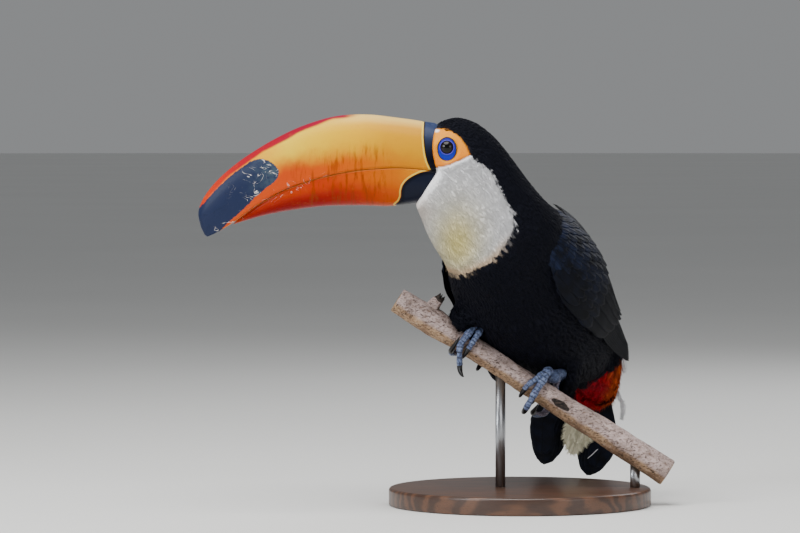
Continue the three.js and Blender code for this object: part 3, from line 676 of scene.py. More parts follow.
def arm_spot(side, back, round_share, lift):
    """A spot on the cushion over the wing's arm: back runs rearwards, round_share from spine to flank."""
    back, round_share = np.broadcast_arrays(np.asarray(back, float), np.asarray(round_share, float))
    crown = np.sin(math.pi * np.clip(0.06 + 0.62 * back, 0, 1))
    bulge = np.sin(math.pi * np.clip(0.1 + 0.8 * round_share, 0.02, 0.98)) * np.sqrt(np.maximum(crown, 0))
    nose = 11 * (2 * round_share - 1.2) ** 2 * (1 - back)
    along = mix(82 - nose, 8, back)
    low, high = mix(40, 20, back), mix(102, 114, smooth(back, 0, 0.5))
    turn = np.radians(mix(low, high, round_share))
    return wing_spot(side, along, turn, 4.8 * bulge + lift)


def arm_cushion(bm, side):
    made = bmesh.ops.create_grid(bm, x_segments=24, y_segments=24, size=1)["verts"]
    shares = np.array([((v.co.x + 1) / 2, (v.co.y + 1) / 2) for v in made])
    spots = arm_spot(side, shares[:, 0], shares[:, 1], 0.0)[0]
    for vert, spot in zip(made, spots):
        vert.co = spot * MM
    faces = list({f for v in made for f in v.link_faces})
    bmesh.ops.recalc_face_normals(bm, faces=faces)
    bm.normal_update()
    centre = Vector(BODY["centre"]) * MM
    outward = sum(f.normal.dot(f.calc_center_median() - centre) for f in faces)
    if outward < 0:
        bmesh.ops.reverse_faces(bm, faces=faces)
    bmesh.ops.solidify(bm, geom=faces, thickness=6 * MM)


def tail_body(bm, keys):
    """A cushion at the tail's root, from rows of (along, half, top, bottom, aside) in the tail's frame."""
    stations = Keyed(keys).at(np.linspace(0, len(keys) - 1, 25))
    along, half, top, bottom, aside = np.moveaxis(stations, -1, 0)
    turn = np.linspace(0, 2 * math.pi, 32, endpoint=False)
    rise = (top + bottom)[:, None] / 2 + (top - bottom)[:, None] / 2 * np.sin(turn)
    tube(bm, in_tail(along[:, None] + 0 * turn, aside[:, None] + half[:, None] * np.cos(turn), rise))


COVERT_BODIES = [  # over the tail and under it
    [(-30, 14, 4, -2, -6), (-16, 21, 10, 4, -5), (8, 20, 9.5, 4, -1), (30, 12, 6, 3.5, 0)],
    [(-34, 17, -6, -20, -5), (-14, 22, -6, -25, -1), (8, 21, -8.5, -23.5, 3), (28, 18, -9.5, -17, 6),
     (40, 10, -10, -13, 5)],
]
SKIN_LIFT = 0.25  # how far the solids are swollen before they become one skin
VOXEL = 1.35
SMOOTHINGS = 14
SOCKET_FILL = {"radius": 8.6, "depth": 14.0, "inward": 3.4}  # it ends just behind the eye's ring


def made_skin():
    """One closed skin over head, neck, torso, thighs, wing arms and the tail's root."""
    bm = bmesh.new()
    for name in FLESH:
        bm.from_mesh(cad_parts[name].data)
    bmesh.ops.remove_doubles(bm, verts=bm.verts, dist=1e-6)
    bm.normal_update()
    for vert in bm.verts:
        vert.co += vert.normal * SKIN_LIFT * MM
    for side in (1, -1):
        arm_cushion(bm, side)
    for keys in COVERT_BODIES:
        tail_body(bm, keys)
    for side in (1, -1):
        middle = Matrix.Translation(Vector((eye_centre(side) + (0, side * SOCKET_FILL["inward"], 0)) * MM))
        lengthwise = middle @ Matrix.Rotation(math.pi / 2, 4, "X")
        cylinder(bm, SOCKET_FILL["radius"], SOCKET_FILL["depth"], 64, lengthwise)
    blank = linked(to_mesh(bm, "flesh_blank"))
    remesh = blank.modifiers.new("whole", "REMESH")
    remesh.mode = "VOXEL"
    remesh.voxel_size = VOXEL * MM
    whole = bpy.data.meshes.new_from_object(blank.evaluated_get(bpy.context.evaluated_depsgraph_get()))
    bpy.data.objects.remove(blank)
    whole.name = "skin"
    bm = bmesh.new()
    bm.from_mesh(whole)
    axes = {"use_axis_" + axis: True for axis in "xyz"}
    for _ in range(SMOOTHINGS):
        bmesh.ops.smooth_vert(bm, verts=bm.verts, factor=0.5, **axes)
    bm.to_mesh(whole)
    bm.free()
    return whole


def face_lap(points):
    """How far forward the face is drawn over the bill's base, most at the eye's height."""
    front = smooth(points[:, 0], -63.5, -66.5)
    return 2.4 * front * np.sin(math.pi * np.clip((points[:, 2] - 269) / 35, 0, 1))


def skin_depth(points):
    """How far the skin lies inside the solids, to leave room for the coat."""
    down_neck = smooth(dot(points - GAPE, np.array([0.75, 0.3, -0.6])), 70, 110)
    depth = mix(0.9, 1.5, down_neck)
    depth = mix(depth, 2.4, vent_share(points))
    depth = mix(depth, 0.3, smooth(inside_by(points[:, [0, 2]], FACE), -3, 1))
    depth = mix(depth, 1.6, smooth(eye_distance(points), 1.25, 1.0))
    lap = smooth(points[:, 0], -64.5, -66.5) * smooth(points[:, 2], 269, 272) * smooth(points[:, 2], 303, 300)
    depth = mix(depth, -0.45, lap)
    along, aside, up = body_places(points)
    arm = smooth(along, 0, 12) * smooth(along, 92, 80) * smooth(np.abs(aside), 22, 34) * smooth(up, -30, -18)
    return mix(depth, 1.0, arm)


def stream_of(points, normals):
    """The lie of the coat at points of the skin, and how far along the stream they are, from 0 to 1."""
    stations = 200
    line = STREAM.at(np.linspace(0, STREAM.last, stations))
    ways = unit(np.gradient(line, axis=0))
    nearest = np.concatenate([
        np.argmin(np.linalg.norm(chunk[:, None] - line[None], axis=2), axis=1)
        for chunk in np.array_split(points, max(1, len(points) // 4000))
    ])
    lie = ways[nearest]
    lie = mix(lie, TAIL_WAY, smooth(tail_places(points)[0], -40, -12)[:, None])
    for leg in LEGS.values():
        for at, radius in leg["tufts"]:
            way = unit(np.array(at, float) - np.array(leg["hip"], float))
            near = smooth(np.linalg.norm(points - at, axis=1), radius + 9, radius)[:, None]
            lie = mix(lie, way, near)
    return across(normals, unit(lie) + 0.15 * normals), nearest / (stations - 1)


def dress_skin():
    """The skin set back under the coat, with its markings: its object, points and normals."""
    mesh = made_skin()
    points, normals = points_of(mesh), normals_of(mesh)
    points -= normals * skin_depth(points)[:, None]
    points[:, 0] -= face_lap(points)
    move(mesh, points)
    normals = normals_of(mesh)
    write(mesh, "tint", markings(points))
    write(mesh, "bare", inside_by(points[:, [0, 2]], FACE))
    made = piece(mesh, skin_finish(), FLESH)
    bpy.context.view_layer.objects.active = made
    made.select_set(True)
    mesh.uv_layers.new(name="OFBake")
    bpy.ops.object.mode_set(mode="EDIT")
    bpy.ops.mesh.select_all(action="SELECT")
    bpy.ops.uv.smart_project(angle_limit=math.radians(70), island_margin=0.004)
    bpy.ops.object.mode_set(mode="OBJECT")
    made.select_set(False)
    return made, points, normals


# ------------------------------------------------------------------ the coat

MOST_TRIANGLES = 190000  # in one piece of the coat
SPOTS_PER_MM2 = 3.0
PATCH = 0.003  # how wide a tuft's own patch of the coat's map is
NEEDLE_FACES = np.array([(0, 2, 3, -1), (2, 1, 3, -1), (1, 0, 3, -1), (0, 1, 2, -1)])
LEAF = [(0.0, 0.35), (0.35, 0.85), (0.7, 1.0), (0.92, 0.62)]  # a leaf's rings: share of its length, and width
LEAF_FACES = np.array(
    [(r + k, r + (k + 1) % 4, r + 4 + (k + 1) % 4, r + 4 + k) for r in (0, 4, 8) for k in range(4)]
    + [(12 + k, 12 + (k + 1) % 4, 16, -1) for k in range(4)] + [(0, 3, 2, 1)]
)
LEAF_CORNERS, LEAF_TRIANGLES = 17, 30


def copies(faces, count, corners):
    """The faces of `count` like shapes of so many corners each."""
    shifted = faces[None] + np.arange(count)[:, None, None] * corners
    return np.where(faces[None] < 0, -1, shifted).reshape(-1, 4)


def patch_spots(maps, u, v):
    """Places in each tuft's own patch of the map, for u and v from 0 to 1."""
    return maps[:, None, None] + (np.stack(np.broadcast_arrays(u, v), axis=-1) - 0.5) * PATCH


def needles(pile, root, point, out, wide, tint, maps=None, band=(0.0, 1.0)):
    """Thin closed spikes from roots to points. A row of each array is a tuft, a column one of its spikes."""
    n, count = wide.shape
    side = unit(np.cross(out, point - root)) * wide[..., None]
    corners = np.stack([root + side, root - side, root + out * (0.45 * wide)[..., None], point], axis=2)
    # Painted shade: each spike's root corners are painted a little darker, where the coat over it shades it,
    # and its tip a little lighter.
    shade = np.array([0.94, 0.94, 1.0, 1.03])
    patch = None
    if maps is not None:
        column = (np.arange(count)[:, None] + np.array([0.1, 0.9, 0.5, 0.5])) / count
        patch = patch_spots(maps, column, mix(*band, np.array([0, 0, 0.3, 1.0]))).reshape(-1, 2)
    flat = np.zeros(n * count * 4)
    tints = np.broadcast_to(tint, (n, count, 3))[:, :, None] * shade[:, None]
    pile.add(corners.reshape(-1, 3), copies(NEEDLE_FACES, n * count, 4), patch,
             tint=tints.reshape(-1, 3), along=flat, aside=flat)


class Ground:
    """The skin as the ground of the coat: spots for roots, and the lie of the land for what grows over it."""

    def __init__(self, made, points, normals):
        mesh = made.data
        mesh.calc_loop_triangles()
        loops = np.empty(len(mesh.loop_triangles) * 3, np.int32)
        mesh.loop_triangles.foreach_get("loops", loops)
        verts = np.empty(len(mesh.loop_triangles) * 3, np.int32)
        mesh.loop_triangles.foreach_get("vertices", verts)
        maps = np.empty(len(mesh.loops) * 2, np.float32)
        mesh.uv_layers["OFBake"].data.foreach_get("uv", maps)
        self.verts, self.maps = verts.reshape(-1, 3), maps.reshape(-1, 2)[loops].reshape(-1, 3, 2)
        self.points, self.normals = points, normals
        self.lies, self.places = stream_of(points, normals)
        corners = points[self.verts]
        area = np.linalg.norm(np.cross(corners[:, 1] - corners[:, 0], corners[:, 2] - corners[:, 0]), axis=1)
        self.odds = area / area.sum()
        self.area = area.sum() / 2
        self.tree = tree_of(points)

    def settle(self, points):
        """The points brought down on to the skin, the ways out of it, and the lie of the coat there."""
        flat = points.reshape(-1, 3)
        near = np.array([self.tree.find(point)[1] for point in flat])
        normals = self.normals[near]
        down = flat - normals * dot(flat - self.points[near], normals)[:, None]
        return [value.reshape(points.shape) for value in (down, normals, self.lies[near])]

    def spots(self, per_mm2):
        """Random spots, about per_mm2 on each square millimetre."""
        count = int(self.area * per_mm2)
        chosen = DRAWS.choice(len(self.verts), count, p=self.odds)
        a, b = DRAWS.random((2, count))
        fold = a + b > 1
        a, b = np.where(fold, 1 - a, a), np.where(fold, 1 - b, b)
        weights = np.stack([1 - a - b, a, b], axis=1)[..., None]
        corners = self.verts[chosen]

        def read(values):
            return np.sum(values[corners] * weights, axis=1)

        normals = unit(read(self.normals))
        return {
            "point": read(self.points),
            "normal": normals,
            "lie": across(normals, read(self.lies)),
            "place": read(self.places[:, None])[:, 0],
            "map": np.sum(self.maps[chosen] * weights, axis=1),
        }


def tree_of(points):
    tree = KDTree(len(points))
    for i, point in enumerate(points):
        tree.insert(point, i)
    tree.balance()
    return tree


def thinned(spots, keep, spacing):
    """The spots that keep says, no two nearer to each other than the spacing."""
    chosen = np.flatnonzero(keep)
    points = spots["point"][chosen]
    tree = tree_of(points)
    left = np.ones(len(points), bool)
    kept = []
    for i, point in enumerate(points):
        if left[i]:
            kept.append(i)
            left[[j for _, j, _ in tree.find_range(point, spacing)]] = False
    return {name: value[chosen[kept]] for name, value in spots.items()}


def under_wing(points):
    """Whether a spot of the skin lies under the folded wings' feathers, by its turn from the back."""
    along, aside, up = body_places(points)
    turn = np.degrees(np.arctan2(np.abs(aside), up))
    upper = np.interp(along, [-88, -64, -54, 8, 70, 84], [88, 78, 38, 34, 50, 70])
    lower = np.interp(along, [-88, -50, -34, 0, 40, 84], [90, 94, 94, 98, 100, 82])
    return (turn > upper) & (turn < lower) & (along > -80) & (along < 76)


def down_hairs(pile, ground, spots, shape):
    """Tufts of fine straight hairs that lie along the skin."""
    length, width, count, lift = shape["length"], shape["width"], shape["hairs"], shape["lift"]
    draw = DRAWS.random((5, len(spots["point"]), count))
    out, lie = spots["normal"][:, None], spots["lie"][:, None]
    side = np.cross(out, lie)
    fan = (0.35 * (draw[0] - 0.5))[..., None]
    root = spots["point"][:, None] + side * (1.6 * (draw[1] - 0.5))[..., None] - 0.2 * out
    reach = length * (0.7 + 0.6 * draw[2])[..., None]
    point, risen, _ = ground.settle(root + (np.cos(fan) * lie + np.sin(fan) * side) * reach)
    point = point + risen * (lift * (0.5 + draw[3]))[..., None]
    tint = spots["tint"][:, None] * (0.98 + 0.04 * draw[4])[..., None]
    needles(pile, root, point, out + 0 * root, width / 2 * (0.8 + 0.4 * draw[3]), tint, spots["map"])


def contour_feathers(pile, ground, spots, shape):
    """Small closed feathers laid on the skin, each a leaf with loose barbs that fray its tip."""
    n, count = len(spots["point"]), shape["barbs"]
    draw = DRAWS.random((4, n, 1))
    length, half = shape["length"] * (0.85 + 0.3 * draw[0]), shape["width"] / 2 * (0.9 + 0.2 * draw[1])
    lift = shape["lift"] * (0.6 + 0.8 * draw[2])
    tint = spots["tint"] * (0.92 + 0.16 * draw[3])
    place, out = spots["point"], spots["normal"]
    way = across(out, spots["lie"] + 0.12 * DRAWS.normal(size=(n, 3)))
    rings, frames, last = [], [], 0.0
    for share, wide in LEAF + [(1.0, 0.0)]:
        if share > 0:
            place, out, lie = ground.settle(place + way * length * (share - last))
            way = across(out, way + 0.5 * lie)
        last = share
        centre = place + out * (lift * share ** 1.5 - 0.35 * (1 - share))
        side, droop = np.cross(out, way) * half * wide, out * (0.1 * half * wide)
        ring = [centre + side - droop, centre + 0.16 * out, centre - side - droop, centre - 0.16 * out]
        rings += ring if wide else [centre]
        frames.append((centre, side, out, way))
    shares = np.append(np.repeat([share for share, _ in LEAF], 4), 1.0)
    edges = np.append(np.outer([wide for _, wide in LEAF], (1, 0, -1, 0)), 0.0)
    # Painted shade: a leaf is painted darker towards its root, which the feather in front covers, and lighter
    # to its tip; its frayed barbs are painted lighter still.
    shade = 0.8 + 0.24 * shares
    pile.add(
        np.stack(rings, axis=1).reshape(-1, 3), copies(LEAF_FACES, n, LEAF_CORNERS),
        patch_spots(spots["map"], 0.5 + 0.5 * edges[None], 0.7 * shares[None]).reshape(-1, 2),
        tint=(tint[:, None] * shade[:, None]).reshape(-1, 3),
        along=(length * shares).ravel(), aside=(half * edges).ravel(),
    )
    draw = DRAWS.random((4, n, count))
    edge = np.linspace(-0.85, 0.85, count) + 0.3 * (draw[0] - 0.5)
    back = np.clip(0.95 - 0.75 * edge ** 2, 0, 1)[..., None]
    (before, _, _, _), (after, side, out, way) = frames[2], frames[3]
    side = side / LEAF[3][1]
    root = mix(before[:, None], after[:, None], back) + side[:, None] * edge[..., None] * 0.75
    spread = (0.5 * edge + 0.5 * (draw[1] - 0.5))[..., None]
    course = np.cos(spread) * way[:, None] + np.sin(spread) * unit(side)[:, None]
    reach = length * shape["fray"] * (0.6 + 0.7 * draw[2])
    rise = lift * (0.1 + 0.5 * draw[3])
    point = root + course * reach[..., None] + out[:, None] * rise[..., None]
    thick = shape["barb"] / 2 * (0.8 + 0.4 * draw[1])
    needles(pile, root, point, np.broadcast_to(out[:, None], root.shape), thick, 1.06 * tint[:, None],
            spots["map"], (0.72, 1.0))


# Sizes in millimetres. A tuft of down has `hairs`. A feather has `barbs` of thickness `barb`, and `fray` is
# their share of its length.
COATS = {
    "coat_bib": {
        "slot": "white_feathers", "spacing": 0.82, "length": 5.5, "width": 0.38, "lift": 0.25, "hairs": 8,
    },
    "coat_crown": {
        "slot": "black_feathers", "spacing": 1.3, "length": 6.0, "width": 3.0, "lift": 0.4,
        "barbs": 5, "fray": 0.3, "barb": 0.4,
    },
    "coat_neck": {
        "slot": "black_feathers", "spacing": 1.6, "length": 8.5, "width": 3.8, "lift": 0.55,
        "barbs": 6, "fray": 0.28, "barb": 0.45,
    },
    "coat_body": {
        "slot": "black_feathers", "spacing": 2.1, "length": 13.0, "width": 5.6, "lift": 0.8,
        "barbs": 7, "fray": 0.26, "barb": 0.5,
    },
    "coat_crissum": {
        "slot": "red_feathers", "spacing": 1.9, "length": 18.0, "width": 5.6, "lift": 1.3,
        "barbs": 10, "fray": 0.34, "barb": 0.5, "nodes": ("tail_coverts_under",),
    },
    "coat_rump": {
        "slot": "white_feathers", "spacing": 2.1, "length": 18.0, "width": 6.4, "lift": 1.3,
        "barbs": 9, "fray": 0.32, "barb": 0.5, "nodes": ("tail_coverts_upper",),
    },
}


def dressed(ground, spots, name, material):
    """Coat pieces of tufts at the spots, each piece small enough to keep whole."""
    shape = COATS[name]
    hairy = "hairs" in shape
    triangles = 4 * shape["hairs"] if hairy else LEAF_TRIANGLES + 4 * shape["barbs"]
    limit = MOST_TRIANGLES // triangles
    order = np.argsort(spots["place"], kind="stable")
    for i in range(0, len(order), limit):
        part = {key: value[order[i:i + limit]] for key, value in spots.items()}
        pile = Pile()
        grow = down_hairs if hairy else contour_feathers
        grow(pile, ground, part, shape)
        suffix = "" if len(order) <= limit else f"_{i // limit + 1}"
        piece(pile.mesh(name + suffix), material, shape.get("nodes", ()) if i == 0 else ())


CROWN_END, NECK_END = 0.36, 0.56  # along the stream
PERCH_CLEAR = 13.0  # no tuft grows nearer to the perch's axis


def made_coat(ground):
    """Grows every region's tufts, and gives back their material."""
    spots = ground.spots(SPOTS_PER_MM2)
    point, place = spots["point"], spots["place"]
    ahead = np.interp(place, [0, CROWN_END, NECK_END, 1], [3, 3.6, 6, 7])
    ahead = np.where(tail_places(point)[0] > -30, 9.0, ahead)
    shown = point + spots["lie"] * ahead[:, None]  # a feather has the colour of where most of it is seen
    spots["tint"] = markings(shown)
    white, red, ivory = bib_share(shown) > 0.5, vent_share(shown) > 0.5, rump_share(shown) > 0.5
    flat = point[:, [0, 2]]
    bare = ((inside_by(flat, FACE) > 0.1) | (eye_distance(point) < 1.1)) & (place < 0.5)
    at_bill = (dot(point - (GAPE + (-1.5, 0, 0)), np.array([-1.0, 0, 0.04])) > 0) & (flat[:, 1] > 262)
    off_perch = np.linalg.norm(perch_places(point)[1], axis=1)
    free = ~(bare | at_bill | under_wing(point) | (off_perch < PERCH_CLEAR))
    dark = free & ~(white | red | ivory)
    regions = {
        "coat_bib": free & white,
        "coat_crown": dark & (place < CROWN_END),
        "coat_neck": dark & (place >= CROWN_END) & (place < NECK_END),
        "coat_body": dark & (place >= NECK_END),
        "coat_crissum": free & red,
        "coat_rump": free & ivory & ~red,
    }
    plumage = plumage_finish()
    for name, where in regions.items():
        dressed(ground, thinned(spots, where, COATS[name]["spacing"]), name, plumage)
    return plumage


# ------------------------------------------------------------------ wing and tail feathers

VANE_COLUMNS = np.array([-1, -0.72, -0.4, -0.07, 0, 0.07, 0.4, 0.72, 1])
BLUNT = 0.12  # the narrowest that a feather gets at its tip, of its half width


def vane(pile, place, half, length, rows, point, sheen, thick=0.5):
    """A closed, thin feather over a surface, with a shaft down its middle and a slightly ragged edge.

    place(share, aside, edge) gives the points of its mid-plane and the ways out of them, and point is the
    share of its length where it starts to narrow.
    """
    share = np.linspace(0, 1, rows + 1)[:, None] ** 0.92
    edge = VANE_COLUMNS[None]
    opening = mix(0.45, 1, smooth(share, 0, 0.35))
    closing = np.sqrt(np.maximum(0, 1 - ((share - point) / (1 - point)) ** 2))
    width = half * opening * np.where(share < point, 1, np.maximum(closing, BLUNT))
    ragged = 1 - (DRAWS.random((rows + 1, 1)) < 0.2) * DRAWS.random((rows + 1, 1)) * 0.1
    aside = edge * width * np.where(np.abs(edge) > 0.9, ragged, 1)
    middle, out = place(share + 0 * edge, aside, edge + 0 * share)
    shaft = np.exp(-((edge / 0.09) ** 2)) * (1 - 0.8 * share)
    body = thick * (0.5 - 0.32 * np.abs(edge)) * (1 - 0.4 * share)
    over = middle + out * (body / 2 + 0.35 * shaft)[..., None]
    under = middle - out * (body / 2 + 0.2 * shaft)[..., None]
    columns = len(VANE_COLUMNS)
    points = np.concatenate([over.reshape(-1, 3), under.reshape(-1, 3)])
    index = np.arange((rows + 1) * columns).reshape(rows + 1, columns)
    a, b, c, d = index[:-1, :-1], index[:-1, 1:], index[1:, 1:], index[1:, :-1]
    top = np.stack([a, b, c, d], axis=-1).reshape(-1, 4)
    bottom = np.stack([a, d, c, b], axis=-1).reshape(-1, 4) + len(index.ravel())
    rim = np.concatenate([index[0], index[1:, -1], index[-1, -2::-1], index[-2:0:-1, 0]])
    after = np.roll(rim, -1)
    sides = np.stack([rim, rim + len(index.ravel()), after + len(index.ravel()), after], axis=-1)
    faces = np.concatenate([top, bottom, sides])
    first = np.cross(over[0, -1] - over[0, 0], over[1, 0] - over[0, 0])
    if dot(first, out[0, 0]) < 0:
        faces = faces[:, ::-1]
    both = np.ones((2, 1))
    pile.add(
        points, faces,
        along=(both * (share * length + 0 * edge).ravel()).ravel(),
        aside=(both * aside.ravel()).ravel(),
        rim=(both * (np.abs(edge) + 0 * share).ravel()).ravel(),
        sheen=np.full(len(points), sheen),
    )


# Each row also says how much painted blue sheen its feathers get.
WING_ROWS = [  # from the primaries under all to the median coverts on top
    {"count": 10, "half": 6.8, "tilt": 1.0, "lift": (-1.2, 0.6), "rows": 22, "point": 0.6, "sheen": 0.02,
     "root": lambda s: (mix(16, 34, s), mix(70, 104, s)),
     "tip": lambda s: (mix(-82, -93, s), mix(83, 96, s))},
    {"count": 10, "half": 10.5, "tilt": 0.9, "lift": (0.4, 2.0), "rows": 18, "point": 0.7, "sheen": 0.04,
     "root": lambda s: (mix(12, 40, s), mix(24, 107, s)),
     "tip": lambda s: (mix(-62, -38, s) - 10 * math.sin(math.pi * s), mix(20, 100, s))},
    {"count": 11, "half": 9.0, "tilt": 0.8, "lift": (2.0, 3.6), "rows": 14, "point": 0.6, "sheen": 0.07,
     "root": lambda s: (mix(36, 54, s), mix(24, 108, s)),
     "tip": lambda s: (mix(-12, 4, s), mix(22, 108, s))},
    {"count": 12, "half": 7.6, "tilt": 0.7, "lift": (3.4, 4.8), "rows": 12, "point": 0.55, "sheen": 0.14,
     "root": lambda s: (mix(50, 62, s), mix(26, 106, s)),
     "tip": lambda s: (mix(12, 24, s), mix(26, 108, s))},
]


def wing_feathers(side):
    pile = Pile()
    for row in WING_ROWS:
        for j in range(row["count"]):
            share = j / (row["count"] - 1)
            (start_along, start_turn), (end_along, end_turn) = row["root"](share), row["tip"](share)
            low, high = row["lift"]

            def place(s, aside, edge):
                along = mix(start_along, end_along, s)
                radius = wing_spot(side, along, math.pi / 2, 0)[2]
                turn = np.radians(mix(start_turn, end_turn, s)) + aside / radius
                rise = mix(low, high, smooth(s, 0, 0.5)) + row["tilt"] * edge * smooth(s, 0, 0.3)
                return wing_spot(side, along, turn, rise - 0.4 * edge ** 2)[:2]

            half = row["half"] * (1 + 0.06 * math.sin(5 * j))
            vane(pile, place, half, start_along - end_along, row["rows"], row["point"], row["sheen"])
    arm_coverts(pile, side)
    return pile


def arm_coverts(pile, side):
    """Rows of small coverts over the arm, smallest at the shoulder."""
    rows = 8
    for i in range(rows):
        ahead = i / (rows - 1)
        back = mix(0.86, 0.0, ahead ** 0.85)
        reach = mix(0.34, 0.17, ahead)
        count = 11 + (i % 2)
        for j in range(count):
            middle = (j + 0.5) / count + 0.012 * math.sin(7 * j + 3 * i)
            wide = 92.0 * (0.75 + 0.25 * back)

            def place(s, aside, edge):
                lift = 0.4 + 1.1 * s + 0.25 * edge - 0.25 * edge ** 2
                return arm_spot(side, back + reach * s, middle + aside / wide, lift)[:2]

            vane(pile, place, mix(5.4, 4.4, ahead), reach * 80, 7, 0.45, mix(0.25, 0.8, ahead), 0.4)


def tail_feathers():
    pile = Pile()
    pairs = 5
    for side in (-1, 1):
        for j in range(pairs):
            outward = j / (pairs - 1)
            length = TAIL["length"] * (1 - 0.07 * (2 * outward - 0.8) ** 2)
            root, spread, tip = mix(2.5, 9, outward), mix(15.5, 27, outward), mix(16, 23.5, outward)

            def place(s, aside, edge):
                up = -1.35 * j * smooth(s, 0, 0.3) - 5 * s * s + 0.5 * side * edge * smooth(s, 0.1, 0.4)
                spine = mix(root, spread, smooth(s, 0.08, 0.72)) + (tip - spread) * smooth(s, 0.65, 1)
                bend = mix(-3, 0.5, smooth(s, 0.5, 1))
                spot = in_tail(8 + (length - 8) * s, side * spine + bend + aside, up - 0.5 * edge ** 2)
                return spot, np.broadcast_to(TAIL_UP, spot.shape)

            vane(pile, place, 10.5, length, 26, 0.8, 0.2, 0.6)
    return pile


PALE_CREAM = mix(CREAM, WHITE, 0.45)
# Fans of loose plumes round the tail. Each is spread between two lines, given by their ends in the tail's
# frame: `from` has the roots' line and `to` the tips'. The middle plumes are `extra` longer.
PLUME_FANS = [
    {"count": 9, "half": 5.5, "extra": 8, "tint": IVORY,
     "from": ((-10, -15, 9), (-10, 13, 9)), "to": ((58, -21, 3), (58, 20, 3))},
    {"count": 7, "half": 6.0, "extra": 6, "tint": IVORY,
     "from": ((-22, -16, 10), (-22, 12, 10)), "to": ((34, -17, 8), (34, 16, 8))},
    {"count": 9, "half": 4.2, "extra": 16, "tint": PALE_CREAM,
     "from": ((46, -7, -10), (48, 11, -10)), "to": ((82, -8, -10), (78, 13, -10))},
    {"count": 7, "half": 3.6, "extra": 10, "tint": PALE_CREAM,
     "from": ((44, -3, -11), (46, 9, -11)), "to": ((74, -4, -11), (72, 11, -11))},
    {"count": 6, "half": 3.0, "extra": 2, "tint": WHITE,
     "from": ((-26, 8, 8), (-14, 14, 2)), "to": ((-4, 24, 6), (7, 25, -2))},
]
BARB_STEP = 0.3  # between the barbs of a loose plume
BARB_WIDE = 0.24  # half of how wide a barb is at its root
# The white plume that curls out beside the vent, and the white line beside the tail.
CURL = Keyed([
    (14, 20, -12), (26.7, 26, -10), (30.8, 29.6, -10), (36.5, 31.8, -10), (42.5, 32.8, -10),
    (48.7, 33.4, -10),
])
STREAK = Keyed([(83, 21.3, -11), (86.5, 19.6, -11), (90, 18, -11), (94, 15.8, -11)])


def plume(pile, spine, half, tint):
    """A loose plume along a line of points: soft barbs down both sides of a thin shaft."""
    run = np.concatenate([[0], np.cumsum(np.linalg.norm(np.diff(spine, axis=0), axis=1))])
    count = max(6, int(run[-1] / BARB_STEP))
    share = np.linspace(0, 0.97, count)
    place = np.stack([np.interp(share * run[-1], run, spine[:, k]) for k in range(3)], axis=1)
    way = unit(np.gradient(place, axis=0))
    out = across(way, np.broadcast_to(TAIL_UP, place.shape))
    side = np.cross(out, way)
    reach = half * np.sqrt(np.sin(math.pi * (0.14 + 0.8 * share)))
    wide = np.full((count, 1), BARB_WIDE)
    for hand in (-1, 0, 1):
        draw = DRAWS.random((3, count, 1))
        slant = 0.62 + 0.3 * (draw[0] - 0.5)
        length = (reach[:, None] / np.sin(slant) if hand else 2.5) * (0.75 + 0.4 * draw[1])
        course = np.cos(slant) * way + hand * np.sin(slant) * side + 0.12 * (draw[2] - 0.5) * out
        point = place + course * length
        tints = tint * (0.94 + 0.1 * draw[0][..., None])
        needles(pile, place[:, None], point[:, None], out[:, None], wide, tints)


def tail_plumes():
    pile = Pile()
    for fan in PLUME_FANS:
        for j in range(fan["count"]):
            share = j / (fan["count"] - 1)
            start, end = (mix(*np.array(fan[key], float), share) for key in ("from", "to"))
            end[0] += fan["extra"] * math.sin(math.pi * share)
            bow = DRAWS.normal(size=3) * (0, 1.2, 0.3)
            s = np.linspace(0, 1, 12)[:, None]
            line = mix(start, end, s) + bow * np.sin(math.pi * s)
            plume(pile, in_tail(*line.T), fan["half"], fan["tint"])
    for line, shift, half in ((CURL, -0.5, 2.3), (CURL, 0.5, 2.3), (STREAK, 0, 0.4)):
        spine = line.at(np.linspace(0, line.last, 24)) + (0, shift, 0)
        plume(pile, in_tail(*spine.T), half, WHITE)
    return pile


def made_vanes(plumage):
    flight = vane_finish()
    for side, hand in ((1, "left"), (-1, "right")):
        piece(wing_feathers(side).mesh("wing_feathers_" + hand), flight, ("wing_" + hand,))
    piece(tail_feathers().mesh("tail_feathers"), flight, ("tail",))
    piece(tail_plumes().mesh("tail_plumes"), plumage)


# ------------------------------------------------------------------ bill

# Rows of (ahead and up of the upper line, ahead and up of the lower line, half width, widest place).
UPPER_BILL = Keyed([
    (1.6, 37.6, 0, 0, 21.5, 0.2), (30, 41.8, 26, 2.4, 21.3, 0.2), (56, 44.4, 50, 1.6, 20.3, 0.2),
    (82, 42.5, 73, -1.3, 18.8, 0.2), (110, 33.6, 97, -7, 16.8, 0.22), (138, 19.2, 121, -15.5, 14.4, 0.25),
    (163, 1.6, 142, -27.6, 11.8, 0.28), (180, -15.6, 159, -40, 9.4, 0.32),
    (187.8, -31, 171, -47.5, 6.6, 0.36), (186.5, -43, 178, -51, 4, 0.42),
    (183.5, -50.2, 181, -52.2, 1.6, 0.5),
])
LOWER_BILL = Keyed([
    (0, 0, 17.5, -25.5, 21, 0.78), (26, 2.4, 38, -28, 20.6, 0.78), (50, 1.6, 63, -27.4, 19.4, 0.78),
    (73, -1.3, 88, -28, 17.6, 0.78), (97, -7, 110, -30.5, 15.2, 0.76), (121, -15.5, 131, -34.2, 12, 0.74),
    (142, -27.6, 148, -38.6, 8.2, 0.7), (157, -38.4, 160.5, -42.4, 3.2, 0.6),
])
ROUND, FLAT = 2.35, 22.0  # powers of the curves round a mandible: along its ridge and along the mouth
MOUTH_GAP = 0.08
BILL_LENGTH, BILL_HEIGHT = 195.0, 40.0
BILL_SIDES = 96
NOSTRIL = {"ahead": 3.4, "up": 36.4, "aside": 8.5}
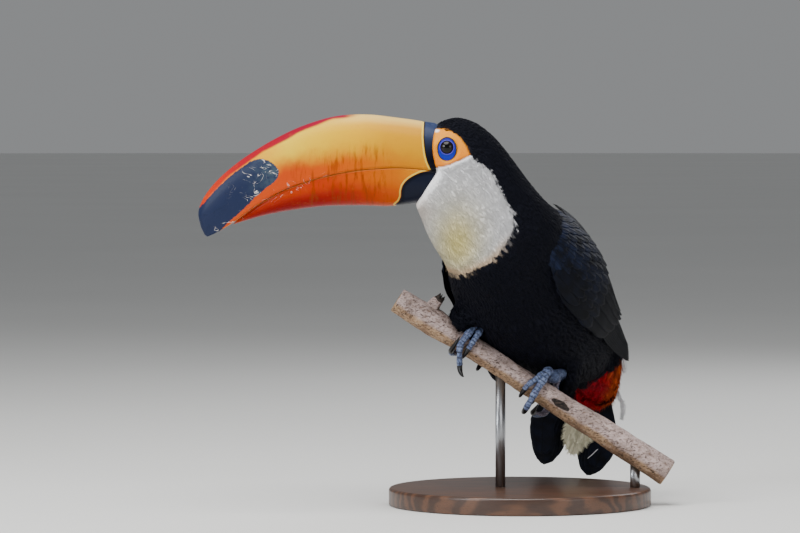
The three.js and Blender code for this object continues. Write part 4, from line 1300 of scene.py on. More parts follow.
# Dark marks seen square to the bill, as (ahead, up) of the gape.
TIP_MARK = rounded([
    (186.1, -28.3), (175.4, -16.2), (164.6, -5.4), (153.9, 2.4), (145.4, 8.2), (138.4, 9.9), (131.2, 7.8),
    (125.4, 2.6), (123.4, -1.8), (126.4, -7.6), (133.9, -13.3), (141.8, -19.7), (148.2, -26.2),
    (153.9, -31.8), (159.7, -36.8), (164.6, -41.1), (169, -45.4), (176, -54), (190, -60), (200, -45),
    (193, -33),
])
BASE_BAND = rounded([
    (9.4, 44), (10.2, 34), (10.4, 24), (8.6, 10), (4.8, 1.2), (2.6, -1.5), (-12, -3), (-14, 44),
])
BASE_PATCH = rounded([
    (11, -0.6), (2, 0.6), (-8, 0.4), (-10, -12), (-4, -24), (12, -30), (19, -28), (34.1, -27.8),
    (28.2, -22.6), (27.8, -13), (23.7, -7), (16.3, -2.6),
])


def mandible_rings(keys, rows, above, below, upper):
    """Rings over half a bill, with the points of each spread evenly round it."""
    station = keys.at(np.linspace(0, keys.last, rows + 1))
    top, bottom = in_bill(station[:, 0], station[:, 1]), in_bill(station[:, 2], station[:, 3])
    inward = unit(top - bottom) * MOUTH_GAP / 2
    top, bottom = (top, bottom + inward) if upper else (top - inward, bottom)
    half, middle = station[:, 4], station[:, 5]
    turn = np.linspace(0, 2 * math.pi, 2400, endpoint=False)
    power = 2 / np.where(np.sin(turn) > 0, above, below)
    wide = np.sign(np.cos(turn)) * np.abs(np.cos(turn)) ** power
    tall = np.sign(np.sin(turn)) * np.abs(np.sin(turn)) ** power
    centre = bottom + (top - bottom) * middle[:, None]
    rings = []
    for i in range(rows + 1):
        lift = np.where(tall[:, None] > 0, top[i] - centre[i], bottom[i] - centre[i])
        dense = centre[i] + np.abs(tall)[:, None] * lift + np.outer(wide * half[i], (0, -1, 0))
        steps = np.linalg.norm(np.diff(dense, axis=0, append=dense[:1]), axis=1)
        length = np.concatenate([[0], np.cumsum(steps)])
        wanted = np.linspace(0, length[-1], BILL_SIDES, endpoint=False)
        loop = np.concatenate([dense, dense[:1]])
        rings.append(np.stack([np.interp(wanted, length, loop[:, k]) for k in range(3)], axis=1))
    rings = np.array(rings)
    base = rings[0].mean(axis=0)
    back = np.array([5.0, 0, 0.0])
    inner = [base + back + (rings[0] - base) * 0.86, base + back * 0.6 + (rings[0] - base) * 0.94]
    return np.concatenate([inner, rings])


def bill_places(points):
    """How far points lie ahead of the gape and above it, and where the bill's lines run there."""
    ahead, up = GAPE[0] - points[:, 0], points[:, 2] - GAPE[2]
    culmen = np.interp(ahead, UPPER_BILL.rows[:9, 0], UPPER_BILL.rows[:9, 1])
    mouth = np.interp(ahead, UPPER_BILL.rows[:, 2], UPPER_BILL.rows[:, 3])
    keel = np.interp(ahead, LOWER_BILL.rows[:, 2], LOWER_BILL.rows[:, 3])
    return ahead, up, culmen, mouth, keel


def bill_values(mesh):
    """Keeps where each vertex of a mandible is along the bill and how far inside each dark mark."""
    ahead, up, culmen, mouth, keel = bill_places(points_of(mesh))
    flat = np.stack([ahead, up], axis=1)
    values = {
        "ahead": ahead / BILL_LENGTH,
        "height": up / BILL_HEIGHT,
        "rise": (up - mouth) / np.maximum(culmen - mouth, 2),
        "drop": (mouth - up) / np.maximum(mouth - keel, 2),
        "below_culmen": culmen - up,
        "off_mouth": np.abs(up - mouth),
        "tip": inside_by(flat, TIP_MARK),
        "band": inside_by(flat, BASE_BAND),
        "patch": inside_by(flat, BASE_PATCH),
    }
    for name, value in values.items():
        write(mesh, name, value)


def shaped_bill(mesh, upper):
    """Works the horn: the base band's step, the nostrils, the toothed cutting edge and slow ripples."""
    points, normals = points_of(mesh), normals_of(mesh)
    ahead, up, _, mouth, _ = bill_places(points)
    band = inside_by(np.stack([ahead, up], axis=1), BASE_BAND if upper else BASE_PATCH)
    push = 0.22 * smooth(band, -0.2, 1.2) - 0.3 * np.exp(-((band + 0.2) / 0.7) ** 2)
    push += 0.12 * ripple(points, 17, 3.0)
    near = np.exp(-((up - mouth) / 1.1) ** 2) * smooth(ahead, 24, 40)
    push -= near * (0.05 + 0.06 * np.sin(ahead * 1.25 + 2 * np.sin(ahead * 0.21)))
    if upper:
        for side in (1, -1):
            pit = in_bill(NOSTRIL["ahead"], NOSTRIL["up"]) - (0, side * NOSTRIL["aside"], 0)
            off = np.linalg.norm((points - pit) * (0.6, 1.0, 1.0), axis=1)
            push -= 1.8 * smooth(off, 2.6, 0.7)
    move(mesh, points + normals * (push * smooth(ahead, -1.5, 1.5))[:, None])


def upper_tones(horn, soft):
    """The upper mandible's yellow over orange, paler by the culmen (partly a painted highlight), with a
    crimson ridge in front.
    """
    ahead, rise = horn.value("ahead"), horn.value("rise")
    warped = ahead + (soft - 0.5) * 0.05
    high = horn.ramp(warped, [
        (0.0, 0xC48800), (0.2, 0xCA8E00), (0.32, 0xD8A000), (0.46, 0xDCAC08), (0.6, 0xDEB61C),
        (0.72, 0xDA980C), (0.84, 0xD46C08), (0.95, 0xC84C08),
    ])
    low = horn.ramp(warped, [
        (0.0, 0xBC7600), (0.17, 0xBE6E00), (0.3, 0xC05A00), (0.42, 0xC04E02), (0.56, 0xBE440A),
        (0.66, 0xBE4210), (0.85, 0xBE4610),
    ])
    level = rise - ahead * 0.45 + (soft - 0.5) * 0.4
    horned = horn.blend(low, high, level.step(-0.06, 0.42))
    # Painted highlight: a pale cream band along the culmen near the base, over the horn's own paler yellow
    # there.
    pale = horn.blend(horned, 0xF0D080, rise.step(0.8, 1.0) * ahead.step(0.55, 0.25) * 0.7)
    tone = horn.ramp(ahead, [
        (0.0, 0x980A38), (0.42, 0x960830), (0.55, 0x900428), (0.8, 0xA01020), (0.93, 0xB83414),
    ])
    culmen = horn.value("below_culmen") + (soft - 0.5) * 2.0 + ahead.step(0.66, 0.34) * 3.6
    return horn.blend(pale, tone, culmen.step(6.2, 3.6) * ahead.step(0.3, 0.38))


def lower_tones(horn, soft):
    """The lower mandible, orange at the mouth and crimson brown towards the keel and the front."""
    warped = horn.value("ahead") + (soft - 0.5) * 0.05
    high = horn.ramp(warped, [
        (0.1, 0xC27400), (0.16, 0xBA6000), (0.31, 0xB84A00), (0.47, 0xAE2E02), (0.61, 0xA63006),
        (0.75, 0x9C2204), (0.85, 0xB03C04),
    ])
    low = horn.ramp(warped, [
        (0.1, 0xB85000), (0.2, 0xB04000), (0.31, 0xA02004), (0.47, 0x8A0608), (0.61, 0x820608),
        (0.75, 0x880E06), (0.85, 0xA43A04),
    ])
    return horn.blend(high, low, (horn.value("drop") + (soft - 0.5) * 0.4).step(0.15, 0.75))


def bill_finish(name, upper):
    horn = Finish(name, Coat_Roughness=0.15, Coat_Weight=0.03, Specular_IOR_Level=0.08)
    ahead, place = horn.value("ahead"), horn.place()
    soft = horn.noise(place, 16.0, 3.0)
    tinted = upper_tones(horn, soft) if upper else lower_tones(horn, soft)
    east, _, up = horn.parts(place)
    streaks = horn.noise(horn.joined(east * 0.3, up * 0.05, 0.0), 1.0, 4.0, 0.6)
    zone = ahead.step(0.16, 0.24) * ahead.step(0.64, 0.5)
    if upper:
        zone = zone * (horn.value("rise") + (soft - 0.5) * 0.5).step(0.6, 0.2)
    streaked = horn.blend(tinted, 0x7E3204, streaks.step(0.47, 0.66) * zone * (0.6 if upper else 0.8))
    bruises = horn.noise(place, 5.0, 4.0, 0.6)
    aged = horn.blend(streaked, 0xB87420, bruises.step(0.55, 0.8) * 0.18)
    edge = horn.blend(aged, 0xE8A050, horn.value("off_mouth").step(0.8, 0.25) * 0.45)
    fray = (horn.noise(place, 3.0, 4.0, 0.65) - 0.5) * 2.2
    tip = (horn.value("tip") + fray).step(-0.35, 0.35)
    slate = horn.blend(0x222A44, 0x3C4A58, ahead.step(0.8, 0.64) * bruises.step(0.3, 0.65))
    marked = horn.blend(edge, slate, tip)
    maze = horn.noise(horn.joined(east * 0.7, up, 0.0), 9.0, 2.0, 0.5, 0.8)
    scratch = (maze - 0.5).absolute().step(0.011, 0.003) * horn.noise(place, 8.0, 2.0).step(0.47, 0.58)
    by_mouth = horn.value("off_mouth").step(7.0, 1.0) * ahead.step(0.42, 0.5)
    worn = tip * ahead.step(0.86, 0.7) * 0.8 + by_mouth * 0.6
    scratched = horn.blend(marked, 0xE8E0DA, scratch * worn)
    inside = horn.value("band" if upper else "patch")
    dark = (inside + fray * 0.12).step(-0.15, 0.15)
    outlined = horn.blend(scratched, 0xE0C850, (inside + 0.9).absolute().step(0.9, 0.3) * 0.7)
    # Painted sheen on the dark band at the bill's base: lighter blue-grey towards its top on the upper
    # mandible, and a faint lightening inside the patch on the lower one.
    sheen = inside.step(1.0, 4.0) * 0.12
    if upper:
        sheen = inside.step(0.3, 1.6) * horn.value("height").step(0.2, 1.05)
    collar = horn.blend(0x0B0C15, 0x303C5C, sheen)
    return horn.set(
        Base_Color=horn.blend(outlined, collar, dark),
        Roughness=0.3 + bruises * 0.12 + scratch * 0.2,
        Normal=horn.bump(soft * 0.6 + streaks * 0.1 - scratch * tip * 0.5, 0.3),
    )


def made_bill():
    shapes = {
        "bill_upper": (UPPER_BILL, 170, ROUND, FLAT, True),
        "bill_lower": (LOWER_BILL, 140, FLAT, ROUND, False),
    }
    for name, (keys, rows, above, below, upper) in shapes.items():
        bm = bmesh.new()
        tube(bm, mandible_rings(keys, rows, above, below, upper))
        mesh = to_mesh(bm, name + "_horn")
        shaped_bill(mesh, upper)
        bill_values(mesh)
        piece(mesh, bill_finish(name + "_horn", upper), (name,))


# ------------------------------------------------------------------ eyes


def ring_finish():
    lid = Finish("eye_ring", Roughness=0.5, Coat_Weight=0.03, Specular_IOR_Level=0.15)
    off_eye, to_rim = lid.value("off_eye"), lid.value("to_rim")
    wrinkles = lid.noise(lid.place(), 1.1, 3.0)
    blue = lid.blend(0x10209C, 0x22248A, (wrinkles + lid.value("high")).step(0.4, 1.2))
    lash = lid.blend(blue, 0x5048B8, off_eye.step(0.1, 0.4) * off_eye.step(1.15, 0.8))
    inner = lid.blend(lash, 0x08080E, off_eye.step(0.3, 0.05))
    rings = (off_eye * 9.0 + wrinkles * 4).sine()
    dark = (to_rim + (wrinkles - 0.5) * 0.3).step(0.95, 0.6)
    return lid.set(Base_Color=lid.blend(inner, 0x07070B, dark), Normal=lid.bump(rings * 0.5 + wrinkles, 0.12))


def eye_finish():
    ball = Finish("eye_ball", Roughness=0.08, Coat_Weight=0.1, Coat_Roughness=0.03, Specular_IOR_Level=0.22)
    out = ball.value("outward")
    fibres = ball.noise(ball.place(), 0.7, 3.0)
    iris = ball.ramp(out, [
        (0.0, 0x020203), (0.34, 0x030304), (0.4, 0x140E0C), (0.6, 0x1A1210), (0.72, 0x060608),
    ])
    threads = fibres.step(0.5, 0.8) * out.step(0.36, 0.44) * 0.5
    return ball.set(Base_Color=ball.blend(iris, 0x2A1C16, threads))


def made_eyeball(side, name, material):
    centre = eye_centre(side)
    bm = bmesh.new()
    made = bmesh.ops.create_uvsphere(bm, u_segments=48, v_segments=32, radius=1)["verts"]
    for vert in made:
        way = np.array(vert.co)  # the ball's pole points out of the head
        out = math.hypot(way[0], way[1])
        bulge = 0.5 * math.exp(-((out / 0.55) ** 2)) if way[2] > 0 else 0.0
        spot = centre + np.array([way[0], -side * way[2], way[1]]) * (EYE["radius"] - 0.35 + bulge)
        vert.co = spot * MM
    bmesh.ops.recalc_face_normals(bm, faces=bm.faces)
    mesh = to_mesh(bm, "eyeball_" + name)
    off = points_of(mesh) - centre
    write(mesh, "outward", np.hypot(off[:, 0], off[:, 2]) / EYE["radius"])
    piece(mesh, material, ("eye_" + name,))


def made_eye_ring(side, name, material):
    """The bare ring round the eye: an oval cushion, set low, with the lids' rim round its opening."""
    centre = eye_centre(side)
    inner, wide, tall, low = EYE_RING["opening"], EYE_RING["wide"], EYE_RING["tall"], EYE_RING["drop"]
    share = np.linspace(0, 1, 24)[:, None]
    turn = np.linspace(0, 2 * math.pi, 72, endpoint=False)[None]
    x = mix(inner, wide, share) * np.cos(turn)
    z = mix(inner * np.sin(turn), tall * np.sin(turn) - low, share)
    lid = np.exp(-(((np.hypot(x, z) - inner - 0.65) / 0.42) ** 2))
    height = mix(5.55, 5.4, share) + 0.05 * x - 0.04 * z + 0.6 * lid + 0.2 * np.sin(math.pi * share)
    height = height - 1.3 * smooth(share, 0.86, 1.0) - 1.2 * smooth(share, 0.06, 0.0)
    height = height + 0.06 * np.sin(share * 40) + 0.05 * np.sin(turn * 23 + 6 * share)
    front = centre + np.stack([x, -side * height, z], axis=-1)
    back = centre + (front[::-1] - centre) * (0.97, 1, 0.97) + np.array([0, side * 2.5, 0])
    bm = bmesh.new()
    rolled(bm, np.concatenate([front, back, front[:1]]))
    bmesh.ops.remove_doubles(bm, verts=bm.verts, dist=1e-6)
    bmesh.ops.recalc_face_normals(bm, faces=bm.faces)
    mesh = to_mesh(bm, "eye_ring_" + name)
    off = points_of(mesh) - centre
    reach, angle = np.hypot(off[:, 0], off[:, 2]), np.arctan2(off[:, 2], off[:, 0])
    # The rim's distance from the eye's centre, along the way to each vertex.
    a = (np.cos(angle) / wide) ** 2 + (np.sin(angle) / tall) ** 2
    b, c = 2 * np.sin(angle) * low / tall ** 2, (low / tall) ** 2 - 1
    rim = (-b + np.sqrt(b * b - 4 * a * c)) / (2 * a)
    write(mesh, "off_eye", reach - inner)
    write(mesh, "to_rim", rim - reach)
    write(mesh, "high", off[:, 2] / 10)
    piece(mesh, material)


# ------------------------------------------------------------------ feet and claws

PAD = 6.6  # height of the pad's middle over the bark
TOE_START = 6.0  # degrees round the perch
CLAW_ARC = 9.5  # radius of a hanging claw's arc


def toe_size(toe, share):
    return toe["radius"] * mix(1.04, 0.76, share)


def toe_centre(station, toe, turn, radius):
    bend = toe.get("sway", 0) * smooth(turn, toe["length"] - 60, toe["length"] + 15)
    slide = station + mix(toe["start"], toe["end"], smooth(turn, 0, 110)) + bend
    lift = 4.5 * (1 - smooth(turn, 10, 70)) + toe.get("drop", 0) * smooth(turn, 90, 150)
    return beside_perch(slide, toe["way"] * np.radians(turn), perch_radius(slide) + 0.9 + radius + lift)


def plates_of(toe):
    return max(7, round(toe["length"] / 12))


def toe_tube(bm, station, toe):
    """A toe round the perch, with a domed scute for each plate of its outer face and soft pads inside."""
    plates = plates_of(toe)
    share = np.linspace(0, 1, plates * 8 + 1)
    radius = toe_size(toe, share) * (1 + 0.09 * np.cos(share * 3 * 2 * math.pi))
    spine = toe_centre(station, toe, mix(TOE_START, toe["length"], share), radius)
    cycle = share * plates % 1
    turn = np.linspace(0, 2 * math.pi, 28, endpoint=False)
    outer = smooth(-np.cos(turn) * toe["way"], -0.25, 0.35)[None]
    dome = 0.46 * np.sqrt(np.clip(np.sin(math.pi * cycle), 0, 1))[:, None] + 0.16 * cycle[:, None]
    pads = 0.45 * np.abs(np.sin(share * 5 * math.pi))[:, None]
    ring = radius[:, None] + outer * (dome - 0.34) + (1 - outer) * (pads - 0.2)
    ring[-4:] *= np.array([0.98, 0.94, 0.84, 0.6])[:, None]
    tube(bm, bar_rings(spine, ring, len(turn), PERCH_WAY))


def claw_spine(station, toe, share):
    """A claw's line: it runs on from the toe round the perch, or hangs in an arc of its own."""
    root = toe_size(toe, 1)
    if "hangs" not in toe:
        turn = toe["length"] + mix(-3, toe.get("claw", 50), share)
        return toe_centre(station, toe, turn, root + 1.4 * np.sin(math.pi * share * 0.8)), PERCH_WAY
    fall = unit(-0.85 * PERCH_UP + 0.45 * PERCH_WAY)
    pivot = unit(np.cross(fall, PERCH_FRONT) + 0.6 * PERCH_FRONT)
    hook = unit(np.cross(pivot, fall))
    swing = np.radians(80 * share)[:, None]
    start = toe_centre(station, toe, toe["length"] - 5.0, root)
    return start + CLAW_ARC * (np.sin(swing) * fall + (1 - np.cos(swing)) * hook), pivot


def foot_values(mesh, leg):
    """Keeps how far each vertex of a foot is a scute, a groove between scutes, or a sole."""
    points = points_of(mesh)
    from_axis = unit(perch_places(points)[1])
    scutes, grooves, soles = np.zeros((3, len(points)))
    for toe in leg["toes"]:
        turns = np.linspace(TOE_START, toe["length"], 160)
        line = toe_centre(leg["station"], toe, turns, toe["radius"])
        gaps = np.linalg.norm(points[:, None] - line[None], axis=2)
        nearest = np.argmin(gaps, axis=1)
        facing = dot(unit(points - line[nearest]), from_axis)
        cycle = (turns[nearest] - TOE_START) / (toe["length"] - TOE_START) * plates_of(toe) % 1
        on_toe = gaps[np.arange(len(points)), nearest] < toe["radius"] * 1.4
        upper = smooth(facing, -0.1, 0.4) * on_toe * smooth(turns[nearest], 8, 20)
        scutes = np.maximum(scutes, upper)
        grooves = np.maximum(grooves, upper * np.maximum(smooth(cycle, 0.2, 0.0), smooth(cycle, 0.86, 1.0)))
        soles = np.maximum(soles, smooth(facing, -0.1, -0.6) * on_toe)
    write(mesh, "scute", scutes)
    write(mesh, "groove", grooves)
    write(mesh, "sole", soles)


def foot_finish():
    hide = Finish("foot_scales", Coat_Weight=0.1, Coat_Roughness=0.3, Specular_IOR_Level=0.25)
    plates = hide.cells(hide.place(), 1.5, "DISTANCE_TO_EDGE")
    tones = hide.cells(hide.place(), 1.5)
    grime = hide.noise(hide.place(), 4.0, 4.0, 0.6)
    scute = hide.value("scute")
    shade = (tones * 0.8 + grime * 0.6 + scute * 0.05).step(0.35, 1.05)
    tone = hide.blend(0x26335A, 0x8090B4, shade)
    tone = hide.blend(tone, 0x40305C, grime.step(0.52, 0.7) * 0.6)
    tone = hide.blend(tone, 0x7C7280, (hide.value("sole") + (grime - 0.5) * 0.5).step(0.2, 0.8))
    # Painted shade: the grooves between scutes are painted near black, and so are the seams between the small
    # scales, less on the scutes.
    shaded_groove = hide.blend(tone, 0x080A14, hide.value("groove"))
    shaded_seams = plates.step(0.14, 0.03) * (1 - scute * 0.7)
    return hide.set(
        Base_Color=hide.blend(shaded_groove, 0x0C1226, shaded_seams * 0.9),
        Roughness=0.46 - scute * 0.1,
        Normal=hide.bump(plates.step(0.02, 0.2) * (1 - scute * 0.5) + grime * 0.3, 0.35),
    )


def claw_finish():
    horn = Finish("claw_horn", Coat_Weight=0.12, Coat_Roughness=0.15, Specular_IOR_Level=0.3)
    grain = horn.noise(horn.place(), 0.9, 4.0, 0.6)
    worn = horn.noise(horn.place(), 3.0, 2.0)
    tone = horn.blend(0x08070A, 0x232022, worn.step(0.5, 0.8) * 0.6)
    return horn.set(Base_Color=tone, Roughness=0.32 + grain * 0.16, Normal=horn.bump(grain, 0.08))


def made_foot(name, leg, hide, horn):
    station = leg["station"]
    bm = bmesh.new()
    for toe in leg["toes"]:
        toe_tube(bm, station, toe)
    middle = beside_perch(station, 0, perch_radius(station) + PAD)
    spots = np.linspace(-1, 1, 15)
    pad = middle + np.outer(5.9 * spots, PERCH_WAY)
    tube(bm, bar_rings(pad, 1.0 + 4.4 * np.sqrt(np.clip(1 - spots ** 2, 0, 1)), 28, (0, 1, 0)))
    share = np.linspace(0, 1, 16)
    shank = middle + share[:, None] * (leg["ankle"] - middle)
    shank = shank + 5 * np.sin(math.pi * share)[:, None] * PERCH_UP
    tube(bm, bar_rings(shank, 3.7 + 0.9 * np.abs(share - 0.4), 24, PERCH_WAY))
    mesh = to_mesh(bm, "foot_" + name + "_skin")
    foot_values(mesh, leg)
    piece(mesh, hide, ("foot_" + name,))
    share = np.append(np.linspace(0, 1, 30), 1.03)
    for toe in leg["toes"]:
        spine, reference = claw_spine(station, toe, share)
        radius = mix(0.85 * toe["radius"], 0.45, share ** 2)
        radius[-2:] = 0.42, 0.2
        bm = bmesh.new()
        tube(bm, bar_rings(spine, radius, 20, reference, 0.9))
        claw = f"claw_{name}_{toe['name']}"
        piece(to_mesh(bm, claw + "_horn"), horn, (claw,))


# ------------------------------------------------------------------ perch

SCAR = {"along": 155.5, "turn": math.radians(88), "long": 8.5, "wide": 3.2}
STUB = {"along": 26.0, "slant": 2.4, "root": 3.0, "reach": 19.2, "radius": 7.6, "taper": 4.8}
BARK_ROUND, BARK_SCAR_ROUND = 9.0, 9.8  # the perch's radius, for the bark's pattern and for the scar's width


def bark_finish():
    bark = Finish("perch_bark", Specular_IOR_Level=0.3)
    place = bark.place()
    tilt = math.atan2(PERCH_WAY[2], PERCH_WAY[0])
    grained = bark.place((0.45, 1, 1), (0, tilt, 0))
    blotch = bark.noise(place, 16.0, 4.0, 0.6)
    # Lighter pinkish grey on top and darker brown underneath: partly the bark's own colours, partly painted
    # light from above and painted shade below.
    top = bark.blend(0x94827C, 0xBAA6A2, blotch.step(0.35, 0.65))
    low = bark.blend(0x80644E, 0xAA8C6E, blotch.step(0.35, 0.65))
    base = bark.blend(top, low, (bark.value("under") + (blotch - 0.5) * 0.8).step(0.25, 0.7))
    crumbs = bark.noise(grained, 1.7, 5.0, 0.7)
    pale = bark.blend(base, 0xD4C2B6, crumbs.step(0.56, 0.7) * 0.45)
    rough = bark.blend(pale, 0x5C4434, crumbs.step(0.5, 0.36) * 0.75)
    specks = bark.noise(grained, 1.0, 3.0, 0.65, 0.8)
    thick = bark.noise(place, 5.0, 3.0)
    fleck = specks.step(0.54, 0.63) * (thick + bark.value("under") * 0.15).step(0.36, 0.52)
    dotted = bark.blend(rough, 0x2C1E18, fleck * 0.85)
    scar = (bark.value("scar") + (crumbs - 0.5) * 0.4).step(0.0, 0.14)
    wood = bark.blend(0x181414, 0x4E4038, crumbs.step(0.4, 0.7))
    rings = (bark.value("radial") * 3.4 + crumbs * 2.0).sine()
    cut = bark.blend(0xC0A27C, 0x94744E, rings.step(0.0, 1.0))
    scarred = bark.blend(dotted, wood, scar)
    return bark.set(
        Base_Color=bark.blend(scarred, cut, bark.value("end").step(0.4, 0.6)),
        Roughness=0.82 - blotch * 0.1,
        Normal=bark.bump(crumbs * 0.9 + blotch * 0.4 - fleck * 0.5, 0.6),
    )


def bark_spots(along, turn):
    """Places for the bark's pattern, with the perch made straight and even."""
    return np.stack([along, BARK_ROUND * np.cos(turn), BARK_ROUND * np.sin(turn)], axis=-1).reshape(-1, 3)


def in_scar(along, turn):
    """How far a spot of the bark lies inside the scar: 1 in its middle, 0 at its ragged edge."""
    aside = (turn - SCAR["turn"] + math.pi) % (2 * math.pi) - math.pi
    ragged = ripple(bark_spots(along, turn), 3.0, 2.0).reshape(along.shape)
    round_it = aside * BARK_SCAR_ROUND / SCAR["wide"]
    return 1 - np.hypot((along - SCAR["along"]) / SCAR["long"], round_it) + 0.35 * ragged


def broken_stub(bm):
    """The stub of a side branch: a knobbly taper with a splintered rim round a hollow."""
    rows, sides = 20, 32
    share = np.linspace(0, 1, rows)
    turn = np.linspace(0, 2 * math.pi, sides, endpoint=False)
    along, reach = STUB["along"] + STUB["slant"] * share, STUB["root"] + STUB["reach"] * share
    spine = beside_perch(along, 0 * share, reach)
    share = share[:, None]
    spots = np.stack(np.broadcast_arrays(12 * share, 6 * np.cos(turn), 6 * np.sin(turn)), axis=-1)
    knobs = ripple(spots, 3.2, 4.0).reshape(rows, sides)
    radius = (STUB["radius"] - STUB["taper"] * share) * (1 + 0.09 * np.sin(3 * turn + 5 * share))
    walls = bar_rings(spine, radius + 0.9 * knobs, sides, PERCH_WAY)
    splinters = 1.5 * np.sin(5 * turn + 1) + 1.2 * np.sin(11 * turn) - 1.2
    walls[-3:] += (np.array([0.3, 0.7, 1.0])[:, None] * splinters)[..., None] * PERCH_UP
    rim, middle = walls[-1], walls[-1].mean(axis=0)
    steps = ((0.72, 0.4), (0.5, 2.6), (0.2, 3.4))
    hollow = [middle + (rim - middle) * wide - PERCH_UP * deep for wide, deep in steps]
    tube(bm, np.concatenate([walls, hollow]))


def made_perch():
    rows, sides = 300, 72
    along = np.linspace(0, PERCH_LENGTH, rows + 1)
    turn = np.linspace(0, 2 * math.pi, sides, endpoint=False)
    grid_along, grid_turn = np.meshgrid(along, turn, indexing="ij")
    share = grid_along / PERCH_LENGTH
    radius = perch_radius(grid_along) + 0.35 * np.sin(3 * grid_turn + 9 * share)
    radius = radius + 0.25 * np.sin(5 * grid_turn - 31 * share) - 0.25
    spots = bark_spots(grid_along, grid_turn)
    fine = ripple(spots * (0.5, 1, 1), 1.8, 5.0) * 0.22 + ripple(spots * (0.6, 1, 1), 6.0, 8.0) * 0.35
    radius = radius + fine.reshape(radius.shape)
    scar = in_scar(grid_along, grid_turn)
    radius = radius - 1.0 * smooth(scar, -0.1, 0.3) + 0.35 * np.exp(-((scar + 0.12) / 0.12) ** 2)
    ends = np.minimum(along, PERCH_LENGTH - along)
    radius = radius - 0.7 * smooth(ends, 1.2, 0.0)[:, None]
    bm = bmesh.new()
    tube(bm, beside_perch(grid_along, grid_turn, radius))
    rims = [f for f in bm.faces if len(f.verts) > 8]
    for _ in range(5):
        bmesh.ops.inset_region(bm, faces=rims, thickness=1.7 * MM)
    broken_stub(bm)
    mesh = to_mesh(bm, "perch_branch")
    points = points_of(mesh)
    on_axis, off = perch_places(points)
    scar = in_scar(on_axis, np.arctan2(off @ PERCH_FRONT, off @ PERCH_UP))
    reach = np.linalg.norm(off, axis=1)
    local = points - PERCH["start"]
    # The stub's broken end takes the scar's dark wood colour: partly its broken wood, partly painted shade in
    # its hollow and on its right-hand side.
    stub = smooth(reach, 14, 19) * (0.5 + 0.5 * smooth(local[:, 0] - 12 - 0.5 * reach, 0, 4))
    write(mesh, "scar", np.maximum(scar, stub - 0.75 + 0.3 * ripple(local, 4.0)))
    # How far the bark faces down: it sets the browner, darker colour underneath (partly painted shade) and
    # the denser flecks there.
    write(mesh, "under", smooth(dot(unit(off), np.array([-0.25, 0.1, -1.0])), -0.35, 0.75))
    write(mesh, "radial", reach)
    at_end = (on_axis < 0.05) | (on_axis > PERCH_LENGTH - 0.05)
    write(mesh, "end", at_end & (reach < perch_radius(on_axis) - 0.9))
    piece(mesh, bark_finish(), ("perch",))


# ------------------------------------------------------------------ stand


def wood_finish():
    wood = Finish("stand_wood", Coat_Weight=0.25, Coat_Roughness=0.2)
    warp = wood.noise(wood.place((0.25, 1, 1)), 26.0, 3.0)
    _, y, _ = wood.parts(wood.place())
    grain = ((y + warp * 34) * 0.62).sine()
    fine = wood.noise(wood.place((0.04, 1, 1)), 0.8, 4.0, 0.6)
    tone = wood.blend(0x3A2418, 0x5A3A26, grain.step(-0.8, 1.0))
    pored = wood.blend(tone, 0x24150E, fine.step(0.5, 0.75) * 0.6)
    return wood.set(Base_Color=pored, Roughness=0.36 + fine * 0.15, Normal=wood.bump(fine, 0.06))


def steel_finish():
    steel = Finish("brushed_steel", Metallic=1.0)
    brush = steel.noise(steel.place((1, 1, 12)), 1.2, 4.0, 0.6)
    tone = steel.blend(0x8E9094, 0xB2B4B8, brush)
    return steel.set(Base_Color=tone, Roughness=0.24 + brush * 0.2, Normal=steel.bump(brush, 0.02))


def made_stand():
    thick, bevel = STAND["thick"] * MM, STAND["bevel"] * MM
    bm = bmesh.new()
    cylinder(bm, STAND["radius"], STAND["thick"], 160, Matrix.Translation((0, 0, thick / 2)))
    rounding = {"profile": 0.5, "affect": "EDGES", "material": -1}
    upper = [e for e in bm.edges if all(v.co.z > thick / 2 for v in e.verts)]
    bmesh.ops.bevel(bm, geom=upper, offset=bevel, segments=6, **rounding)
    lower = [e for e in bm.edges if all(v.co.z < 1e-6 for v in e.verts)]
    bmesh.ops.bevel(bm, geom=lower, offset=bevel / 2, segments=3, **rounding)
    piece(to_mesh(bm, "stand_disc"), wood_finish(), ("stand_base",))
    steel = steel_finish()
    for name, along in zip(("left", "right"), STAND["rods"]):
        low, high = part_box("stand_rod_" + name)
        middle = [(a + b) / 2 for a, b in zip(low, high)]
        bm = bmesh.new()
        cylinder(bm, STAND["rod"], (high.z - low.z) / MM, 48, Matrix.Translation(middle))
        axis = beside_perch(along, 0, 0)
        for vert in bm.verts:
            if vert.co.z > middle[2]:  # the rod's top is cut along the perch's slant
                slope = (vert.co.x / MM - axis[0]) * PERCH_WAY[2] / PERCH_WAY[0]
                vert.co.z = (axis[2] + slope - (perch_radius(along) - 0.6) / PERCH_WAY[0]) * MM
        piece(to_mesh(bm, "stand_pin_" + name), steel, ("stand_rod_" + name,))


# ------------------------------------------------------------------ camera, light and floor

VIEW = {"target": np.array([-96.0, 0.0, 190.8]), "distance": 3555.0, "lens": 200.0, "rise": math.radians(2)}


def aimed(made, place, target):
    made.location = Vector(place) * MM
    made.rotation_euler = (Vector(target) - Vector(place)).to_track_quat("-Z", "Y").to_euler()
    bpy.context.scene.collection.objects.link(made)
    return made


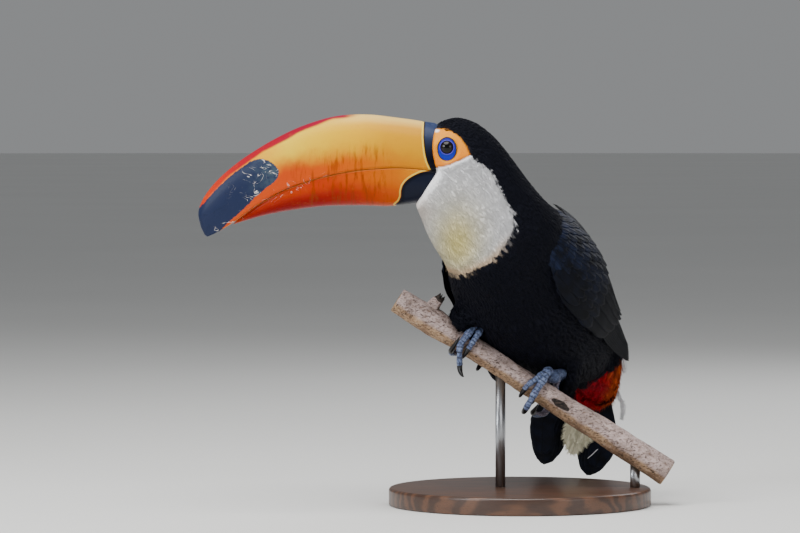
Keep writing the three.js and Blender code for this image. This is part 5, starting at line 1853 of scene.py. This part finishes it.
def made_view():
    data = bpy.data.cameras.new("camera")
    data.lens, data.sensor_width, data.clip_end = VIEW["lens"], 36.0, 100.0
    target = VIEW["target"]
    place = target + VIEW["distance"] * np.array([0, -math.cos(VIEW["rise"]), math.sin(VIEW["rise"])])
    bpy.context.scene.camera = aimed(bpy.data.objects.new("camera", data), place, target)


def made_light():
    lamps = [  # place, width, watts, colour
        ("overhead", (-250, -500, 1700), 1500, 44.0, (1.0, 0.99, 0.97)),
        ("window", (-1500, -1300, 900), 1000, 26.0, (0.95, 0.98, 1.0)),
        ("fill", (1500, -1400, 700), 1100, 10.0, (1.0, 0.98, 0.96)),
        ("rear", (900, 1500, 1100), 900, 9.0, (0.97, 0.98, 1.0)),
    ]
    for name, place, width, power, tone in lamps:
        lamp = bpy.data.lights.new(name, "AREA")
        lamp.shape, lamp.size, lamp.energy, lamp.color = "DISK", width * MM, power, tone
        aimed(bpy.data.objects.new(name, lamp), place, (-60, 0, 170))
    world = bpy.data.worlds.new("studio")
    world.use_nodes = True
    sky = world.node_tree.nodes["Background"].inputs
    sky[0].default_value = (0.86, 0.88, 0.9, 1)
    sky[1].default_value = 0.3
    bpy.context.scene.world = world


def made_floor():
    bm = bmesh.new()
    bmesh.ops.create_circle(bm, cap_ends=True, segments=96, radius=30)
    bmesh.ops.translate(bm, verts=bm.verts, vec=(0, 0, -0.0002))
    floor = linked(to_mesh(bm, "floor"))
    pale = Finish("pale_floor", Roughness=0.75)
    mottle = pale.noise(pale.place(), 900.0, 2.0)
    floor.data.materials.append(pale.set(Base_Color=pale.blend(0xDADAD8, 0xE2E2E0, mottle)))


# ------------------------------------------------------------------ the bird

made_view()
made_light()
made_floor()
made_bill()
made_vanes(made_coat(Ground(*dress_skin())))
ring_material, eye_material = ring_finish(), eye_finish()
for eye_side, eye_name in ((1, "left"), (-1, "right")):
    made_eyeball(eye_side, eye_name, eye_material)
    made_eye_ring(eye_side, eye_name, ring_material)
foot_material, claw_material = foot_finish(), claw_finish()
for leg_name, leg_shape in LEGS.items():
    made_foot(leg_name, leg_shape, foot_material, claw_material)
made_perch()
made_stand()
